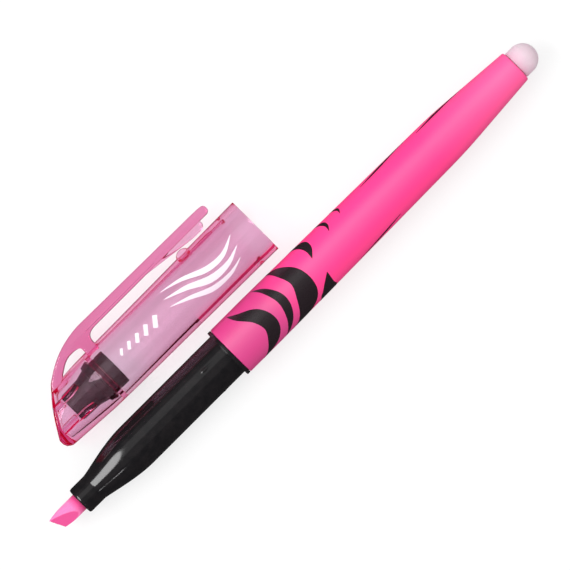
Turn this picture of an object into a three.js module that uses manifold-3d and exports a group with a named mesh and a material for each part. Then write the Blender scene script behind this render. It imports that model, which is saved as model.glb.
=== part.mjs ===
// A chisel highlighter with a friction eraser on its tail, laid down with its cap pulled off beside it.
// Millimetres, +Z up. The pen lies along X with the nib at -X and the eraser at +X. The cap lies parallel
// to it on the +Y side, mouth towards the eraser, clip pointing +Y. The origin is the bottom centre.
import * as THREE from "three";
import { mergeVertices } from "three/addons/utils/BufferGeometryUtils.js";
import Module from "manifold-3d";

const wasm = await Module();
wasm.setup();

// ---- Driving dimensions of the pen, from the nib to the tail ----
const NIB_REACH = 7.2; // nib tip to the front of the snout
const NIB_RADIUS = 1.95;
const CHISEL_SLOPE = 0.41; // rise of each chisel face over its run
const CHISEL_SLANT = 20.5; // degrees that the writing edge leans forward
const CHISEL_TURN = 35; // degrees that the edge is turned about the pen
const SNOUT_RADIUS = 3.05;
const SNOUT_LENGTH = 4.1;
const SHOULDER_LENGTH = 11.9;
const COLLAR_STEP = 0.85; // collar over grip
const PIP_COUNT = 4; // raised pips on the grip that the cap's bead snaps over
const PIP_LENGTH = 2.2;
const PIP_WIDTH = 0.9;
const PIP_HEIGHT = 0.13;
const PIP_SETBACK = 5.4; // collar to the middle of the pips
const PIP_TURN = 12; // degrees from the top of the pen to the first pip
const GRIP_LENGTH = 25.35;
const COLLAR_LENGTH = 0.85;
const BARREL_RADIUS = 5.7;
const BARREL_LENGTH = 79.9;
const BARREL_STRAIGHT = 8.6; // the stretch behind the collar that has no draft
const TAIL_LENGTH = 18.9;
const BARREL_DRAFT = 0.64; // how much thinner the barrel is where its tail starts
const TAIL_TAPER = 1.46; // how much thinner again it is at its end
const BARREL_WALL = 1.2;
const ERASER_STEP = 0.45; // barrel's end over eraser
const ERASER_REACH = 5.1;
const EDGE_ROUND = 0.3;

// ---- Driving dimensions of what the pen holds ----
const SPIGOT_LENGTH = 8.0;
const SECTION_WALL = 1.15;
const RESERVOIR_FILM = 0.2;
const RESERVOIR_IN_TAIL = 1.0; // how far the reservoir goes past the start of the barrel's tail
const CORE_WALL = 0.8; // least fibre round the nib's tail
const NIB_NECK = 0.15; // how much thinner the nib is where it enters the fibre
const NIB_DEPTH = 5.6; // how far the nib's tail goes into the fibre
const STEM_STEP = 0.85; // eraser over its stem
const ERASER_STEM_LENGTH = 4.4;
const SECTION_FRONT_WALL = 2.4; // solid stretch ahead of the grip, round the nib
const CHAMBER_IN_TAIL = 7.5; // how far the barrel's chamber goes into its tail
const RIB_SETBACK = 1.0; // spigot to the barrel's ribs
const RIB_RAMP = 1.5;
const RIB_STOP_LENGTH = 2.0;
const RIB_STOP_RAMP = 2.5;
const RIB_STOP_REACH = 0.6; // how far the stops reach over the core's end
const RIB_THICKNESS = 0.7;
const RIB_COUNT = 4;

// ---- Driving dimensions of the cap ----
const CAP_WALL = 1.4;
const CAP_MID_WALL = 0.9; // where the inner cap sits
const CAP_END_RADIUS = 5.2;
const CAP_END_SPACE = 6.15; // back of the inner cap to the end of the cap
const CAP_END_WALL = 1.9; // along the pen's axis
const INNER_CAP_WALL = 0.95;
const INNER_CAP_END = 1.5;
const SEAL_DEPTH = 2.15; // how far the snout goes into the inner cap
const NIB_SPACE = 1.3; // nib tip to the closed end of the inner cap
const NIB_ROOM = 0.5; // nib in the inner cap, radially
const CLIP_GAP = 1.97; // under the clip, over the cap's widest place
const CLIP_TIP_DROP = 0.35; // how much lower the back is at the tip
const SLANT_RUN = 6.6; // how far the slanted end leans back, up to the arch
const SLANT_RISE = 1.15; // top of the slant over the tube's end
const MOUTH_EDGE = 0.25;
const LEAD_IN = 0.2; // extra bore at the mouth
const BEAD_SETBACK = 4.4; // mouth to the snap bead
const BEAD_LENGTH = 0.5;
const BEAD_HEIGHT = 0.05;
const SNAP_SETBACK = 2.4; // inner cap's mouth to the snap ring
const SNAP_LENGTH = 1.0;
const FLANGE_LENGTH = 1.1;
const FLANGE_CONE = 2.5;
const CLIP_THICKNESS = 2.38;
const CLIP_WIDTH = 5.0;
const CLIP_TIP_WIDTH = 4.2;
const CLIP_TIP_SETBACK = 4.2; // cap mouth to clip tip
const ROOT_FILLET = 1.8; // at the root of the clip, on its underside
const KEEL_WIDTH = 2.4;
const KEEL_GAP = 0.47; // keel over the cap's widest place
const PAD_RADIUS = 1.4; // the half-round pad under the keel
const PAD_HEIGHT = 0.7;
const PAD_SETBACK = 10.1; // clip tip to the middle of the pad
const KEEL_SETBACK = 2.9; // clip tip to the keel's end
const KEEL_RAMP = 14.5; // the stretch over which the keel deepens
const PAD_WIDTH = 2.2;
const STRUT_LENGTH = 2.6;
const STRUT_LEAD = 0.2; // strut ahead of the inner cap's mouth
const FIN_COUNT = 4;
const FIN_THICKNESS = 0.6;
const SNAP_HEIGHT = 0.7; // how far the snap ring stands out of the bore

// ---- Fits and places ----
const CAP_CLEARANCE = 0.2; // grip in the cap, radially
const SEAL_CLEARANCE = 0.2; // snout in the inner cap, radially
const NIB_CLEARANCE = 0.17; // nib in the snout, radially
const SPIGOT_CLEARANCE = 0.25; // spigot in the barrel, radially
const SEAT_GAP = 0.3; // between faces that meet
const LAID_GAP = 1.95; // pen to cap, as laid down
const CAP_PULLED_BACK = 21.95; // how far the mouth lies behind its capped place
const SEGMENTS = 48; // sides of every turned piece
const EMBED = 0.35; // how deep a rib or fin is rooted in its wall

// ---- Stations along the pen, from the nib tip ----
const SNOUT_FRONT = NIB_REACH;
const SHOULDER_FRONT = SNOUT_FRONT + SNOUT_LENGTH;
const GRIP_FRONT = SHOULDER_FRONT + SHOULDER_LENGTH;
const COLLAR_FRONT = GRIP_FRONT + GRIP_LENGTH;
const BARREL_FRONT = COLLAR_FRONT + COLLAR_LENGTH;
const BARREL_END = BARREL_FRONT + BARREL_LENGTH;
const TAIL_START = BARREL_END - TAIL_LENGTH;
const PEN_LENGTH = BARREL_END + ERASER_REACH;
const BORE_FRONT = GRIP_FRONT - SECTION_FRONT_WALL; // where the section opens out for the reservoir
const FILM_FRONT = BORE_FRONT + SEAT_GAP;
const CORE_FRONT = FILM_FRONT + SEAT_GAP;
const NIB_END = CORE_FRONT + NIB_DEPTH;
const RESERVOIR_END = TAIL_START + RESERVOIR_IN_TAIL;

// ---- Radii of the pen ----
const GRIP_RADIUS = BARREL_RADIUS - COLLAR_STEP;
const TAIL_START_RADIUS = BARREL_RADIUS - BARREL_DRAFT;
const TAIL_END_RADIUS = TAIL_START_RADIUS - TAIL_TAPER;
const ERASER_RADIUS = TAIL_END_RADIUS - ERASER_STEP;
const ERASER_STEM_RADIUS = ERASER_RADIUS - STEM_STEP;
const SPIGOT_BORE = BARREL_RADIUS - BARREL_WALL;
const SPIGOT_RADIUS = SPIGOT_BORE - SPIGOT_CLEARANCE;
const SECTION_BORE = GRIP_RADIUS - SECTION_WALL;
const FILM_RADIUS = SECTION_BORE - SEAT_GAP;
const CORE_RADIUS = FILM_RADIUS - RESERVOIR_FILM - SEAT_GAP;
const NIB_BORE = NIB_RADIUS + NIB_CLEARANCE;
const NIB_TAIL_RADIUS = Math.min(NIB_RADIUS - NIB_NECK, CORE_RADIUS - CORE_WALL - SEAT_GAP);
const NIB_HOLE_RADIUS = NIB_TAIL_RADIUS + SEAT_GAP;

// ---- Stations along the cap, from its mouth to its closed end ----
const INNER_MOUTH = COLLAR_FRONT - SNOUT_FRONT - SEAL_DEPTH;
const INNER_CAP_LENGTH = SEAL_DEPTH + NIB_REACH + NIB_SPACE + INNER_CAP_END;
const INNER_REAR = INNER_MOUTH + INNER_CAP_LENGTH;
const CAP_LENGTH = INNER_REAR + CAP_END_SPACE;
const SNAP_FRONT = INNER_MOUTH + SNAP_SETBACK; // ring that holds the inner cap's flange
const SNAP_REAR = SNAP_FRONT + SNAP_LENGTH;
const CLIP_ROOT = INNER_MOUTH - STRUT_LEAD; // where the clip leaves the strut
const CAP_BORE = GRIP_RADIUS + CAP_CLEARANCE;
const CAP_RADIUS = CAP_BORE + CAP_WALL;
const INNER_MOUTH_RADIUS = SNOUT_RADIUS + SEAL_CLEARANCE + INNER_CAP_WALL;
const INNER_REAR_RADIUS = NIB_RADIUS + NIB_ROOM + INNER_CAP_WALL;
const SNAP_BORE = INNER_MOUTH_RADIUS + SEAT_GAP;
const SEAT_BORE = SNAP_BORE + SNAP_HEIGHT; // the bore behind the snap ring
const CAP_MID_RADIUS = SEAT_BORE + CAP_MID_WALL;

// ---- Heights over the cap's axis, and the step from the pen's axis to the cap's ----
const CLIP_UNDER = CAP_RADIUS + CLIP_GAP;
const CLIP_TOP = CLIP_UNDER + CLIP_THICKNESS;
const KEEL_DEPTH = CLIP_GAP - KEEL_GAP;
const CAP_SIDE_STEP = BARREL_RADIUS + CAP_RADIUS + LAID_GAP;

// ---- Solids ----

// A closed mesh as a solid for joining and cutting: only its positions are kept, merged.
function solid(geometry) {
  const bare = new THREE.BufferGeometry();
  bare.setAttribute("position", geometry.getAttribute("position"));
  if (geometry.index) bare.setIndex(geometry.index);
  const merged = mergeVertices(bare, 1e-4);
  return new wasm.Manifold(
    new wasm.Mesh({
      numProp: 3,
      vertProperties: merged.attributes.position.array,
      triVerts: new Uint32Array(merged.index.array),
    }),
  );
}

// A named mesh of a finished solid.
function part(name, made, material) {
  const data = made.getMesh();
  const geometry = new THREE.BufferGeometry();
  geometry.setAttribute("position", new THREE.BufferAttribute(data.vertProperties, 3));
  geometry.setIndex(new THREE.BufferAttribute(data.triVerts, 1));
  geometry.computeVertexNormals();
  const mesh = new THREE.Mesh(geometry, material);
  mesh.name = name;
  return mesh;
}

function plastic(color, roughness, extra = {}) {
  return new THREE.MeshStandardMaterial({ color, roughness, metalness: 0, ...extra });
}

// A piece turned about the X axis. The outline is a list of [along X, radius], which starts and ends on
// the axis, or closes on itself. It may run either way round: the faces are made to point out.
function turned(outline) {
  const points = outline.map(([x, r]) => new THREE.Vector2(r, x));
  if (THREE.ShapeUtils.area(points) < 0) points.reverse();
  return solid(new THREE.LatheGeometry(points, SEGMENTS).rotateZ(-Math.PI / 2));
}

// A plate with a side outline in X and Y, centred on Z.
function plate(outline, width) {
  const shape = outline instanceof THREE.Shape ? outline : new THREE.Shape(outline);
  const options = { depth: width, bevelEnabled: false, curveSegments: 10 };
  return solid(new THREE.ExtrudeGeometry(shape, options).translate(0, 0, -width / 2));
}

// Copies of a plate in the X-Y plane, turned about the X axis from a first angle, joined to one solid.
function around(outline, thickness, count, firstAngle) {
  let all = null;
  for (let i = 0; i < count; i++) {
    const angle = firstAngle + (360 * i) / count;
    const one = plate(outline, thickness).rotate([angle, 0, 0]);
    all = all ? all.add(one) : one;
  }
  return all;
}

function curvePoints(curve, count) {
  return curve.getPoints(count).map((p) => [p.x, p.y]);
}

// Points of an arc about a centre, from one angle to another in degrees.
function arc(cx, cy, radius, from, to, count) {
  const points = [];
  for (let i = 0; i <= count; i++) {
    const angle = THREE.MathUtils.degToRad(from + ((to - from) * i) / count);
    points.push([cx + radius * Math.cos(angle), cy + radius * Math.sin(angle)]);
  }
  return points;
}

// ---- The pen ----

// The grip section: snout, shoulder, grip, collar and the spigot that goes into the barrel.
function gripSection() {
  const swell = SNOUT_RADIUS + 0.29 * (GRIP_RADIUS - SNOUT_RADIUS);
  const shoulder = new THREE.CubicBezierCurve(
    new THREE.Vector2(SHOULDER_FRONT, SNOUT_RADIUS),
    new THREE.Vector2(SHOULDER_FRONT + 0.25 * SHOULDER_LENGTH, swell),
    new THREE.Vector2(SHOULDER_FRONT + 0.62 * SHOULDER_LENGTH, GRIP_RADIUS),
    new THREE.Vector2(GRIP_FRONT, GRIP_RADIUS),
  );
  const spigotEnd = BARREL_FRONT + SPIGOT_LENGTH;
  const body = turned([
    [SNOUT_FRONT, NIB_BORE],
    [SNOUT_FRONT, SNOUT_RADIUS - EDGE_ROUND],
    ...arc(SNOUT_FRONT + EDGE_ROUND, SNOUT_RADIUS - EDGE_ROUND, EDGE_ROUND, 150, 90, 2),
    ...curvePoints(shoulder, 12),
    [COLLAR_FRONT, GRIP_RADIUS],
    [COLLAR_FRONT, BARREL_RADIUS],
    [BARREL_FRONT - SEAT_GAP, BARREL_RADIUS],
    [BARREL_FRONT - SEAT_GAP, SPIGOT_RADIUS],
    [spigotEnd - EDGE_ROUND, SPIGOT_RADIUS],
    [spigotEnd, SPIGOT_RADIUS - EDGE_ROUND],
    [spigotEnd, SECTION_BORE],
    [BORE_FRONT, SECTION_BORE],
    [BORE_FRONT, NIB_BORE],
    [SNOUT_FRONT, NIB_BORE],
  ]);
  return body.add(gripPips());
}

// Low oval pips round the grip, which hold the cap on by its bead.
function gripPips() {
  let pips = null;
  for (let i = 0; i < PIP_COUNT; i++) {
    const bump = new THREE.SphereGeometry(1, 16, 10);
    bump.scale(PIP_LENGTH / 2, PIP_WIDTH / 2, 2 * PIP_HEIGHT);
    bump.translate(COLLAR_FRONT - PIP_SETBACK, 0, GRIP_RADIUS - PIP_HEIGHT);
    const one = solid(bump).rotate([-PIP_TURN + (360 * i) / PIP_COUNT, 0, 0]);
    pips = pips ? pips.add(one) : one;
  }
  return pips;
}

// The felt nib: a round rod cut to a chisel by two faces that meet in a slanted edge.
function nib() {
  const neck = BORE_FRONT + SEAT_GAP;
  const neckRamp = 0.6;
  const rod = turned([
    [-NIB_RADIUS, 0],
    [-NIB_RADIUS, NIB_RADIUS],
    [neck - neckRamp, NIB_RADIUS],
    [neck, NIB_TAIL_RADIUS],
    [NIB_END, NIB_TAIL_RADIUS],
    [NIB_END, 0],
  ]);
  const run = 4 * NIB_END;
  const wedge = new THREE.Shape([
    new THREE.Vector2(0, 0),
    new THREE.Vector2(run, -run * CHISEL_SLOPE),
    new THREE.Vector2(run, run * CHISEL_SLOPE),
  ]);
  const edgeMiddle = NIB_RADIUS * Math.tan(THREE.MathUtils.degToRad(CHISEL_SLANT));
  const chisel = plate(wedge, 4 * run)
    .rotate([90, 0, 0])
    .rotate([0, 0, CHISEL_SLANT])
    .rotate([CHISEL_TURN, 0, 0])
    .translate([edgeMiddle, 0, 0]);
  return rod.intersect(chisel);
}

// Ink core: a fibre rod with a blind hole that the nib's tail pushes into.
function inkCore() {
  const holeEnd = NIB_END + SEAT_GAP;
  return turned([
    [holeEnd, 0],
    [holeEnd, NIB_HOLE_RADIUS],
    [CORE_FRONT, NIB_HOLE_RADIUS],
    [CORE_FRONT, CORE_RADIUS],
    [RESERVOIR_END - SEAT_GAP, CORE_RADIUS],
    [RESERVOIR_END - SEAT_GAP, 0],
  ]);
}

// The film sleeve round the core.
function film() {
  const inside = FILM_RADIUS - RESERVOIR_FILM;
  return turned([
    [FILM_FRONT, inside],
    [FILM_FRONT, FILM_RADIUS],
    [RESERVOIR_END, FILM_RADIUS],
    [RESERVOIR_END, inside],
    [FILM_FRONT, inside],
  ]);
}

// The barrel: a drafted tube with a coned tail, ribs that centre the reservoir, and the eraser's socket.
function barrel() {
  const socketRadius = ERASER_STEM_RADIUS + SEAT_GAP;
  const socketEnd = BARREL_END - ERASER_STEM_LENGTH - SEAT_GAP;
  const chamberEnd = TAIL_START + CHAMBER_IN_TAIL;
  const tailRadius = (x) => TAIL_START_RADIUS - (TAIL_TAPER * (x - TAIL_START)) / TAIL_LENGTH;
  const tailBore = TAIL_START_RADIUS - BARREL_WALL;
  const shell = turned([
    [BARREL_FRONT, SPIGOT_BORE],
    [BARREL_FRONT, BARREL_RADIUS],
    [BARREL_FRONT + BARREL_STRAIGHT, BARREL_RADIUS],
    [TAIL_START, TAIL_START_RADIUS],
    [BARREL_END - EDGE_ROUND, tailRadius(BARREL_END - EDGE_ROUND)],
    [BARREL_END, TAIL_END_RADIUS - EDGE_ROUND],
    [BARREL_END, socketRadius],
    [socketEnd, socketRadius],
    [socketEnd, 0],
    [chamberEnd, 0],
    [chamberEnd, tailRadius(chamberEnd) - BARREL_WALL],
    [TAIL_START, tailBore],
    [BARREL_FRONT + SPIGOT_LENGTH + SEAT_GAP, SPIGOT_BORE],
    [BARREL_FRONT, SPIGOT_BORE],
  ]);
  return shell.add(barrelRibs(tailBore));
}

// Ribs in the barrel: they centre the reservoir, and step inwards behind it to stop it.
function barrelRibs(tailBore) {
  const inside = FILM_RADIUS + SEAT_GAP;
  const front = BARREL_FRONT + SPIGOT_LENGTH + RIB_SETBACK;
  const stop = RESERVOIR_END + SEAT_GAP;
  const over = CORE_RADIUS - RIB_STOP_REACH;
  const outline = [
    [front, SPIGOT_BORE + EMBED],
    [front, SPIGOT_BORE],
    [front + RIB_RAMP, inside],
    [stop, inside],
    [stop, over],
    [stop + RIB_STOP_LENGTH, over],
    [stop + RIB_STOP_LENGTH + RIB_STOP_RAMP, tailBore - EMBED],
    [stop, tailBore + EMBED],
    [TAIL_START, tailBore + EMBED],
  ];
  return around(outline.map(([x, r]) => new THREE.Vector2(x, r)), RIB_THICKNESS, RIB_COUNT, 45);
}

// The friction eraser: a domed stub on a stem.
function eraser() {
  const shoulder = BARREL_END + SEAT_GAP;
  const domeCentre = PEN_LENGTH - ERASER_RADIUS;
  return turned([
    [BARREL_END - ERASER_STEM_LENGTH, 0],
    [BARREL_END - ERASER_STEM_LENGTH, ERASER_STEM_RADIUS],
    [shoulder, ERASER_STEM_RADIUS],
    [shoulder, ERASER_RADIUS - EDGE_ROUND / 2],
    [shoulder + EDGE_ROUND / 2, ERASER_RADIUS],
    ...arc(domeCentre, 0, ERASER_RADIUS, 90, 0, 8).map(([x, r]) => [x, Math.max(r, 0)]),
  ]);
}

// ---- The cap: along X from its mouth at 0 to its closed end at -X, clip towards +Y ----

// Outline points given as [distance from the mouth, height over the axis].
function side(points) {
  return points.map(([u, v]) => new THREE.Vector2(-u, v));
}

// The side outline of the closed end: a blunt corner below, and a face that slants back to the arch.
function endOutline(shift) {
  const end = CAP_LENGTH - shift;
  const slant = new THREE.CubicBezierCurve(
    new THREE.Vector2(end, -0.55 * CAP_END_RADIUS),
    new THREE.Vector2(end - 0.25 * SLANT_RUN, -0.05 * CAP_END_RADIUS),
    new THREE.Vector2(end - 0.55 * SLANT_RUN, 0.65 * CAP_END_RADIUS),
    new THREE.Vector2(end - SLANT_RUN, CAP_END_RADIUS + SLANT_RISE),
  );
  return side([
    [-2, -2 * CAP_RADIUS],
    [end - 1.5, -2 * CAP_RADIUS],
    [end - 0.9, -0.97 * CAP_END_RADIUS],
    [end - 0.25, -0.88 * CAP_END_RADIUS],
    [end, -0.74 * CAP_END_RADIUS],
    ...curvePoints(slant, 8),
    [end - 1.45 * SLANT_RUN, CAP_END_RADIUS + 2.7 * SLANT_RISE],
    [end - 2 * SLANT_RUN, 2 * CLIP_TOP],
    [-2, 2 * CLIP_TOP],
  ]);
}

// The tube's outside, before its end is slanted.
function capTube() {
  return turned([
    [-CAP_LENGTH, 0],
    [-CAP_LENGTH, CAP_END_RADIUS],
    [-(INNER_MOUTH + 0.5 * INNER_CAP_LENGTH), CAP_MID_RADIUS - 0.12],
    [-INNER_MOUTH, CAP_MID_RADIUS],
    [-MOUTH_EDGE, CAP_RADIUS],
    [0, CAP_RADIUS - MOUTH_EDGE],
    [0, 0],
  ]);
}

// The arch that joins the closed end to the clip, with the strut that stands on the tube.
function capArch() {
  const foot = CAP_LENGTH - SLANT_RUN;
  const span = foot - CLIP_ROOT;
  const topDrop = 0.3;
  const footTop = CAP_END_RADIUS + SLANT_RISE;
  const back = new THREE.CubicBezierCurve(
    new THREE.Vector2(CLIP_ROOT, CLIP_TOP),
    new THREE.Vector2(CLIP_ROOT + 0.5 * span, CLIP_TOP - topDrop),
    new THREE.Vector2(CLIP_ROOT + 0.79 * span, footTop + 0.41 * (CLIP_TOP - footTop)),
    new THREE.Vector2(foot, footTop),
  );
  const web = side([[CLIP_ROOT, 0], ...curvePoints(back, 10), [foot + 0.4 * SLANT_RUN, 0]]);
  return plate(web, CLIP_WIDTH).subtract(archHole());
}

// The D-shaped hole under the arch: flat along the tube, round above.
function archHole() {
  const front = CLIP_ROOT + STRUT_LENGTH;
  const floor = CAP_MID_RADIUS - 0.1;
  const roof = CLIP_UNDER - 0.65;
  const wall = floor + 0.5 * (roof - floor); // top of the strut's straight back
  const outline = new THREE.Shape();
  outline.moveTo(-front, floor);
  outline.lineTo(-front, wall);
  outline.bezierCurveTo(-front, roof - 0.2, -(front + 1.0), roof, -(front + 2.4), roof);
  outline.bezierCurveTo(-(front + 4.0), roof, -(front + 5.2), floor + 0.8, -(front + 6.4), floor);
  outline.closePath();
  return plate(outline, 2 * CLIP_WIDTH);
}

// The hollow of the cap: lead-in, snap bead, the grip's bore, the snap ring and the end chamber.
function capHollow() {
  const beadFront = -BEAD_SETBACK;
  const beadRear = beadFront - BEAD_LENGTH;
  const grip = turned([
    [1, 0],
    [1, CAP_BORE + LEAD_IN],
    [beadFront + 0.4, CAP_BORE + LEAD_IN],
    [beadFront, CAP_BORE - BEAD_HEIGHT],
    [beadRear, CAP_BORE - BEAD_HEIGHT],
    [beadRear - 0.4, CAP_BORE],
    [-(GRIP_LENGTH + 3), CAP_BORE],
    [-INNER_MOUTH, SEAT_BORE],
    [-SNAP_FRONT, SEAT_BORE],
    [-SNAP_FRONT, SNAP_BORE],
    [-SNAP_REAR, SNAP_BORE],
    [-SNAP_REAR, SEAT_BORE],
    [-CAP_LENGTH, CAP_END_RADIUS - CAP_WALL],
    [-CAP_LENGTH, 0],
  ]);
  return grip.intersect(plate(endOutline(CAP_END_WALL), 4 * CAP_RADIUS));
}

// Fins in the closed end that centre the inner cap and stop it going further in.
function capFins() {
  const clear = INNER_REAR_RADIUS + SEAT_GAP;
  const root = CAP_MID_RADIUS - 0.5 * CAP_MID_WALL;
  const tip = INNER_REAR - 3.4;
  const ramp = 1.9;
  const stop = INNER_REAR + SEAT_GAP;
  const outline = side([
    [tip, root],
    [tip, clear + 0.75],
    [tip + ramp, clear],
    [stop, clear],
    [stop, clear - 0.85],
    [CAP_LENGTH, clear - 0.85],
    [CAP_LENGTH, root],
  ]);
  return around(outline, FIN_THICKNESS, FIN_COUNT, 45);
}

// The half-round pad on the tube that the clip's keel presses against.
function capPad() {
  const station = CLIP_TIP_SETBACK + PAD_SETBACK;
  const crown = CAP_RADIUS + PAD_HEIGHT;
  const outline = arc(-station, crown - PAD_RADIUS, PAD_RADIUS, 0, 180, 12);
  const foot = CAP_BORE + 0.2;
  const points = [[-station + PAD_RADIUS, foot], ...outline, [-station - PAD_RADIUS, foot]];
  return plate(points.map(([x, y]) => new THREE.Vector2(x, y)), PAD_WIDTH);
}

function capShell() {
  const end = plate(endOutline(0), 4 * CAP_RADIUS);
  const outside = capTube().add(capArch()).intersect(end);
  const shell = outside.subtract(capHollow());
  const fins = capFins().intersect(outside);
  return shell.add(fins).add(capPad());
}

// The inner cap: a thimble that seals the snout, with a flange that snaps behind the ring.
function innerCap() {
  const flangeFront = SNAP_REAR + SEAT_GAP;
  const flange = SEAT_BORE - SEAT_GAP;
  const rear = INNER_REAR;
  const wideBore = SNOUT_RADIUS + SEAL_CLEARANCE;
  const narrowBore = INNER_REAR_RADIUS - INNER_CAP_WALL;
  const step = INNER_MOUTH + SEAL_DEPTH + 1.0;
  const round = 2 * EDGE_ROUND;
  return turned([
    [-INNER_MOUTH, wideBore + 0.15],
    [-(INNER_MOUTH + 0.4), wideBore],
    [-step, wideBore],
    [-(step + 0.6), narrowBore],
    [-(rear - INNER_CAP_END), narrowBore],
    [-(rear - INNER_CAP_END), 0],
    [-rear, 0],
    [-rear, INNER_REAR_RADIUS - round],
    [-(rear - round), INNER_REAR_RADIUS],
    [-(flangeFront + FLANGE_LENGTH + FLANGE_CONE), INNER_REAR_RADIUS],
    [-(flangeFront + FLANGE_LENGTH), flange],
    [-flangeFront, flange],
    [-flangeFront, INNER_MOUTH_RADIUS],
    [-INNER_MOUTH, INNER_MOUTH_RADIUS],
    [-INNER_MOUTH, wideBore + 0.15],
  ]);
}

// The clip's free arm: a tapering bar with a keel under its tip.
function clipArm() {
  const root = CLIP_ROOT - SEAT_GAP;
  const tip = CLIP_TIP_SETBACK;
  const tipTop = CLIP_TOP - CLIP_TIP_DROP;
  const nose = new THREE.CubicBezierCurve(
    new THREE.Vector2(tip + 1.8, tipTop),
    new THREE.Vector2(tip + 0.4, tipTop - 0.1),
    new THREE.Vector2(tip, tipTop - 0.5),
    new THREE.Vector2(tip, CLIP_UNDER + 0.75),
  );
  const bar = plate(
    side([
      [root - ROOT_FILLET, CLIP_UNDER],
      [root - 0.35 * ROOT_FILLET, CLIP_UNDER - 0.2 * ROOT_FILLET],
      [root, CLIP_UNDER - 0.65 * ROOT_FILLET],
      [root, CLIP_TOP],
      ...curvePoints(nose, 6),
      [tip + 0.15, CLIP_UNDER + 0.1],
      [tip + 0.7, CLIP_UNDER],
    ]),
    CLIP_WIDTH,
  );
  // The bar narrows from its root to its tip.
  const half = CLIP_WIDTH / 2;
  const tipHalf = CLIP_TIP_WIDTH / 2;
  const plan = new THREE.Shape([
    new THREE.Vector2(-root - 1, -half),
    new THREE.Vector2(-tip + 1, -tipHalf),
    new THREE.Vector2(-tip + 1, tipHalf),
    new THREE.Vector2(-root - 1, half),
  ]);
  const taper = plate(plan, 8 * CLIP_TOP).rotate([90, 0, 0]);
  const keelEnd = tip + KEEL_SETBACK;
  const deep = keelEnd + 2.6;
  const keel = plate(
    side([
      [deep + KEEL_RAMP, CLIP_UNDER + 0.3],
      [deep + KEEL_RAMP, CLIP_UNDER - 0.02],
      [deep + 0.65 * KEEL_RAMP, CLIP_UNDER - 0.3 * KEEL_DEPTH],
      [deep, CLIP_UNDER - KEEL_DEPTH],
      [keelEnd + 0.9, CLIP_UNDER - KEEL_DEPTH],
      [keelEnd + 0.2, CLIP_UNDER - 0.75 * KEEL_DEPTH],
      [keelEnd, CLIP_UNDER - 0.4 * KEEL_DEPTH],
      [keelEnd + 0.2, CLIP_UNDER + 0.3],
    ]),
    KEEL_WIDTH,
  );
  return bar.intersect(taper).add(keel);
}

// ---- Assembly ----
const pinkPlastic = plastic(0xff4f96, 0.35);
const blackPlastic = plastic(0x141416, 0.3);
const clearPink = plastic(0xe878b4, 0.12, { transparent: true, opacity: 0.55 });
const feltPink = plastic(0xf5559f, 0.95);
const inkedFibre = plastic(0xf06aa8, 0.95);
const clearFilm = plastic(0xf4dfe8, 0.25, { transparent: true, opacity: 0.5 });
const paleRubber = plastic(0xeedee4, 0.7);

const pen = new THREE.Group();
pen.add(part("grip_section", gripSection(), blackPlastic));
pen.add(part("nib", nib(), feltPink));
pen.add(part("ink_reservoir", inkCore(), inkedFibre));
pen.add(part("reservoir_film", film(), clearFilm));
pen.add(part("barrel", barrel(), pinkPlastic));
pen.add(part("eraser", eraser(), paleRubber));
pen.position.set(0, 0, BARREL_RADIUS);

const cap = new THREE.Group();
cap.add(part("cap_shell", capShell(), clearPink));
cap.add(part("inner_cap", innerCap(), blackPlastic));
cap.add(part("clip_arm", clipArm(), clearPink));
cap.position.set(COLLAR_FRONT + CAP_PULLED_BACK, CAP_SIDE_STEP, CAP_RADIUS);

const highlighter = new THREE.Group();
highlighter.add(pen, cap);
const nearSide = -BARREL_RADIUS;
const farSide = CAP_SIDE_STEP + CLIP_TOP;
highlighter.position.set(-PEN_LENGTH / 2, -(nearSide + farSide) / 2, 0);

export default highlighter;
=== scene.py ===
import math

import bpy
import numpy as np
from mathutils import Euler, Matrix, Vector


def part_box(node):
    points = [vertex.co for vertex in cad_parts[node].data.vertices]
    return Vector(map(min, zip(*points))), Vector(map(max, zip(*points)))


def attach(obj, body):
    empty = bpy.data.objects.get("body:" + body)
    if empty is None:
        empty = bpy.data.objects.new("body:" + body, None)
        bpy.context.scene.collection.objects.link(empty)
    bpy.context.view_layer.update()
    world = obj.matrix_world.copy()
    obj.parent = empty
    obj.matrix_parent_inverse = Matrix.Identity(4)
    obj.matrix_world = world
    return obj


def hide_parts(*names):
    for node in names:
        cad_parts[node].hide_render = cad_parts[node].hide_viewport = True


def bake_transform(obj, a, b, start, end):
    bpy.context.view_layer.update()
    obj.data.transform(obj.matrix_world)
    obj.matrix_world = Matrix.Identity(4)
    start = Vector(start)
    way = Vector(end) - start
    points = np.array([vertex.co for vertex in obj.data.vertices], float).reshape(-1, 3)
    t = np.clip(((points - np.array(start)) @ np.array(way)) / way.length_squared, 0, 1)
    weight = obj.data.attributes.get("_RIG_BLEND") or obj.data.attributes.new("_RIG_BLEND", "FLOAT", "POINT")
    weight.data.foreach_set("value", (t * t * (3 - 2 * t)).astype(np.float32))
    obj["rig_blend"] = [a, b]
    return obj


bl_info = {
    "name": "Chisel highlighter",
    "version": (1, 0, 0),
    "blender": (4, 5, 0),
    "location": "3D View > Sidebar > Highlighter",
    "description": "Makes a chisel highlighter and its clear cap around the packed frame",
    "category": "Add Mesh",
}

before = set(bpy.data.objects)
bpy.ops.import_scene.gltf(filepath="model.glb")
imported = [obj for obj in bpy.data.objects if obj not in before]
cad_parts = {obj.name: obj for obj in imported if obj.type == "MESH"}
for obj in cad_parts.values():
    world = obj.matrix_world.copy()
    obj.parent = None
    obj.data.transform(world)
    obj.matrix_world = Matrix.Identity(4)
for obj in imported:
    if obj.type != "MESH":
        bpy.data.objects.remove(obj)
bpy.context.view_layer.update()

MM = 0.001
SMOOTH_ANGLE = math.radians(32)
DOUBLES = 1e-4  # points of a turned mesh closer than this are one point, in millimetres
LEAST_CHANGE = 1e-6  # a boolean that changes the volume by less than this has failed

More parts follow.
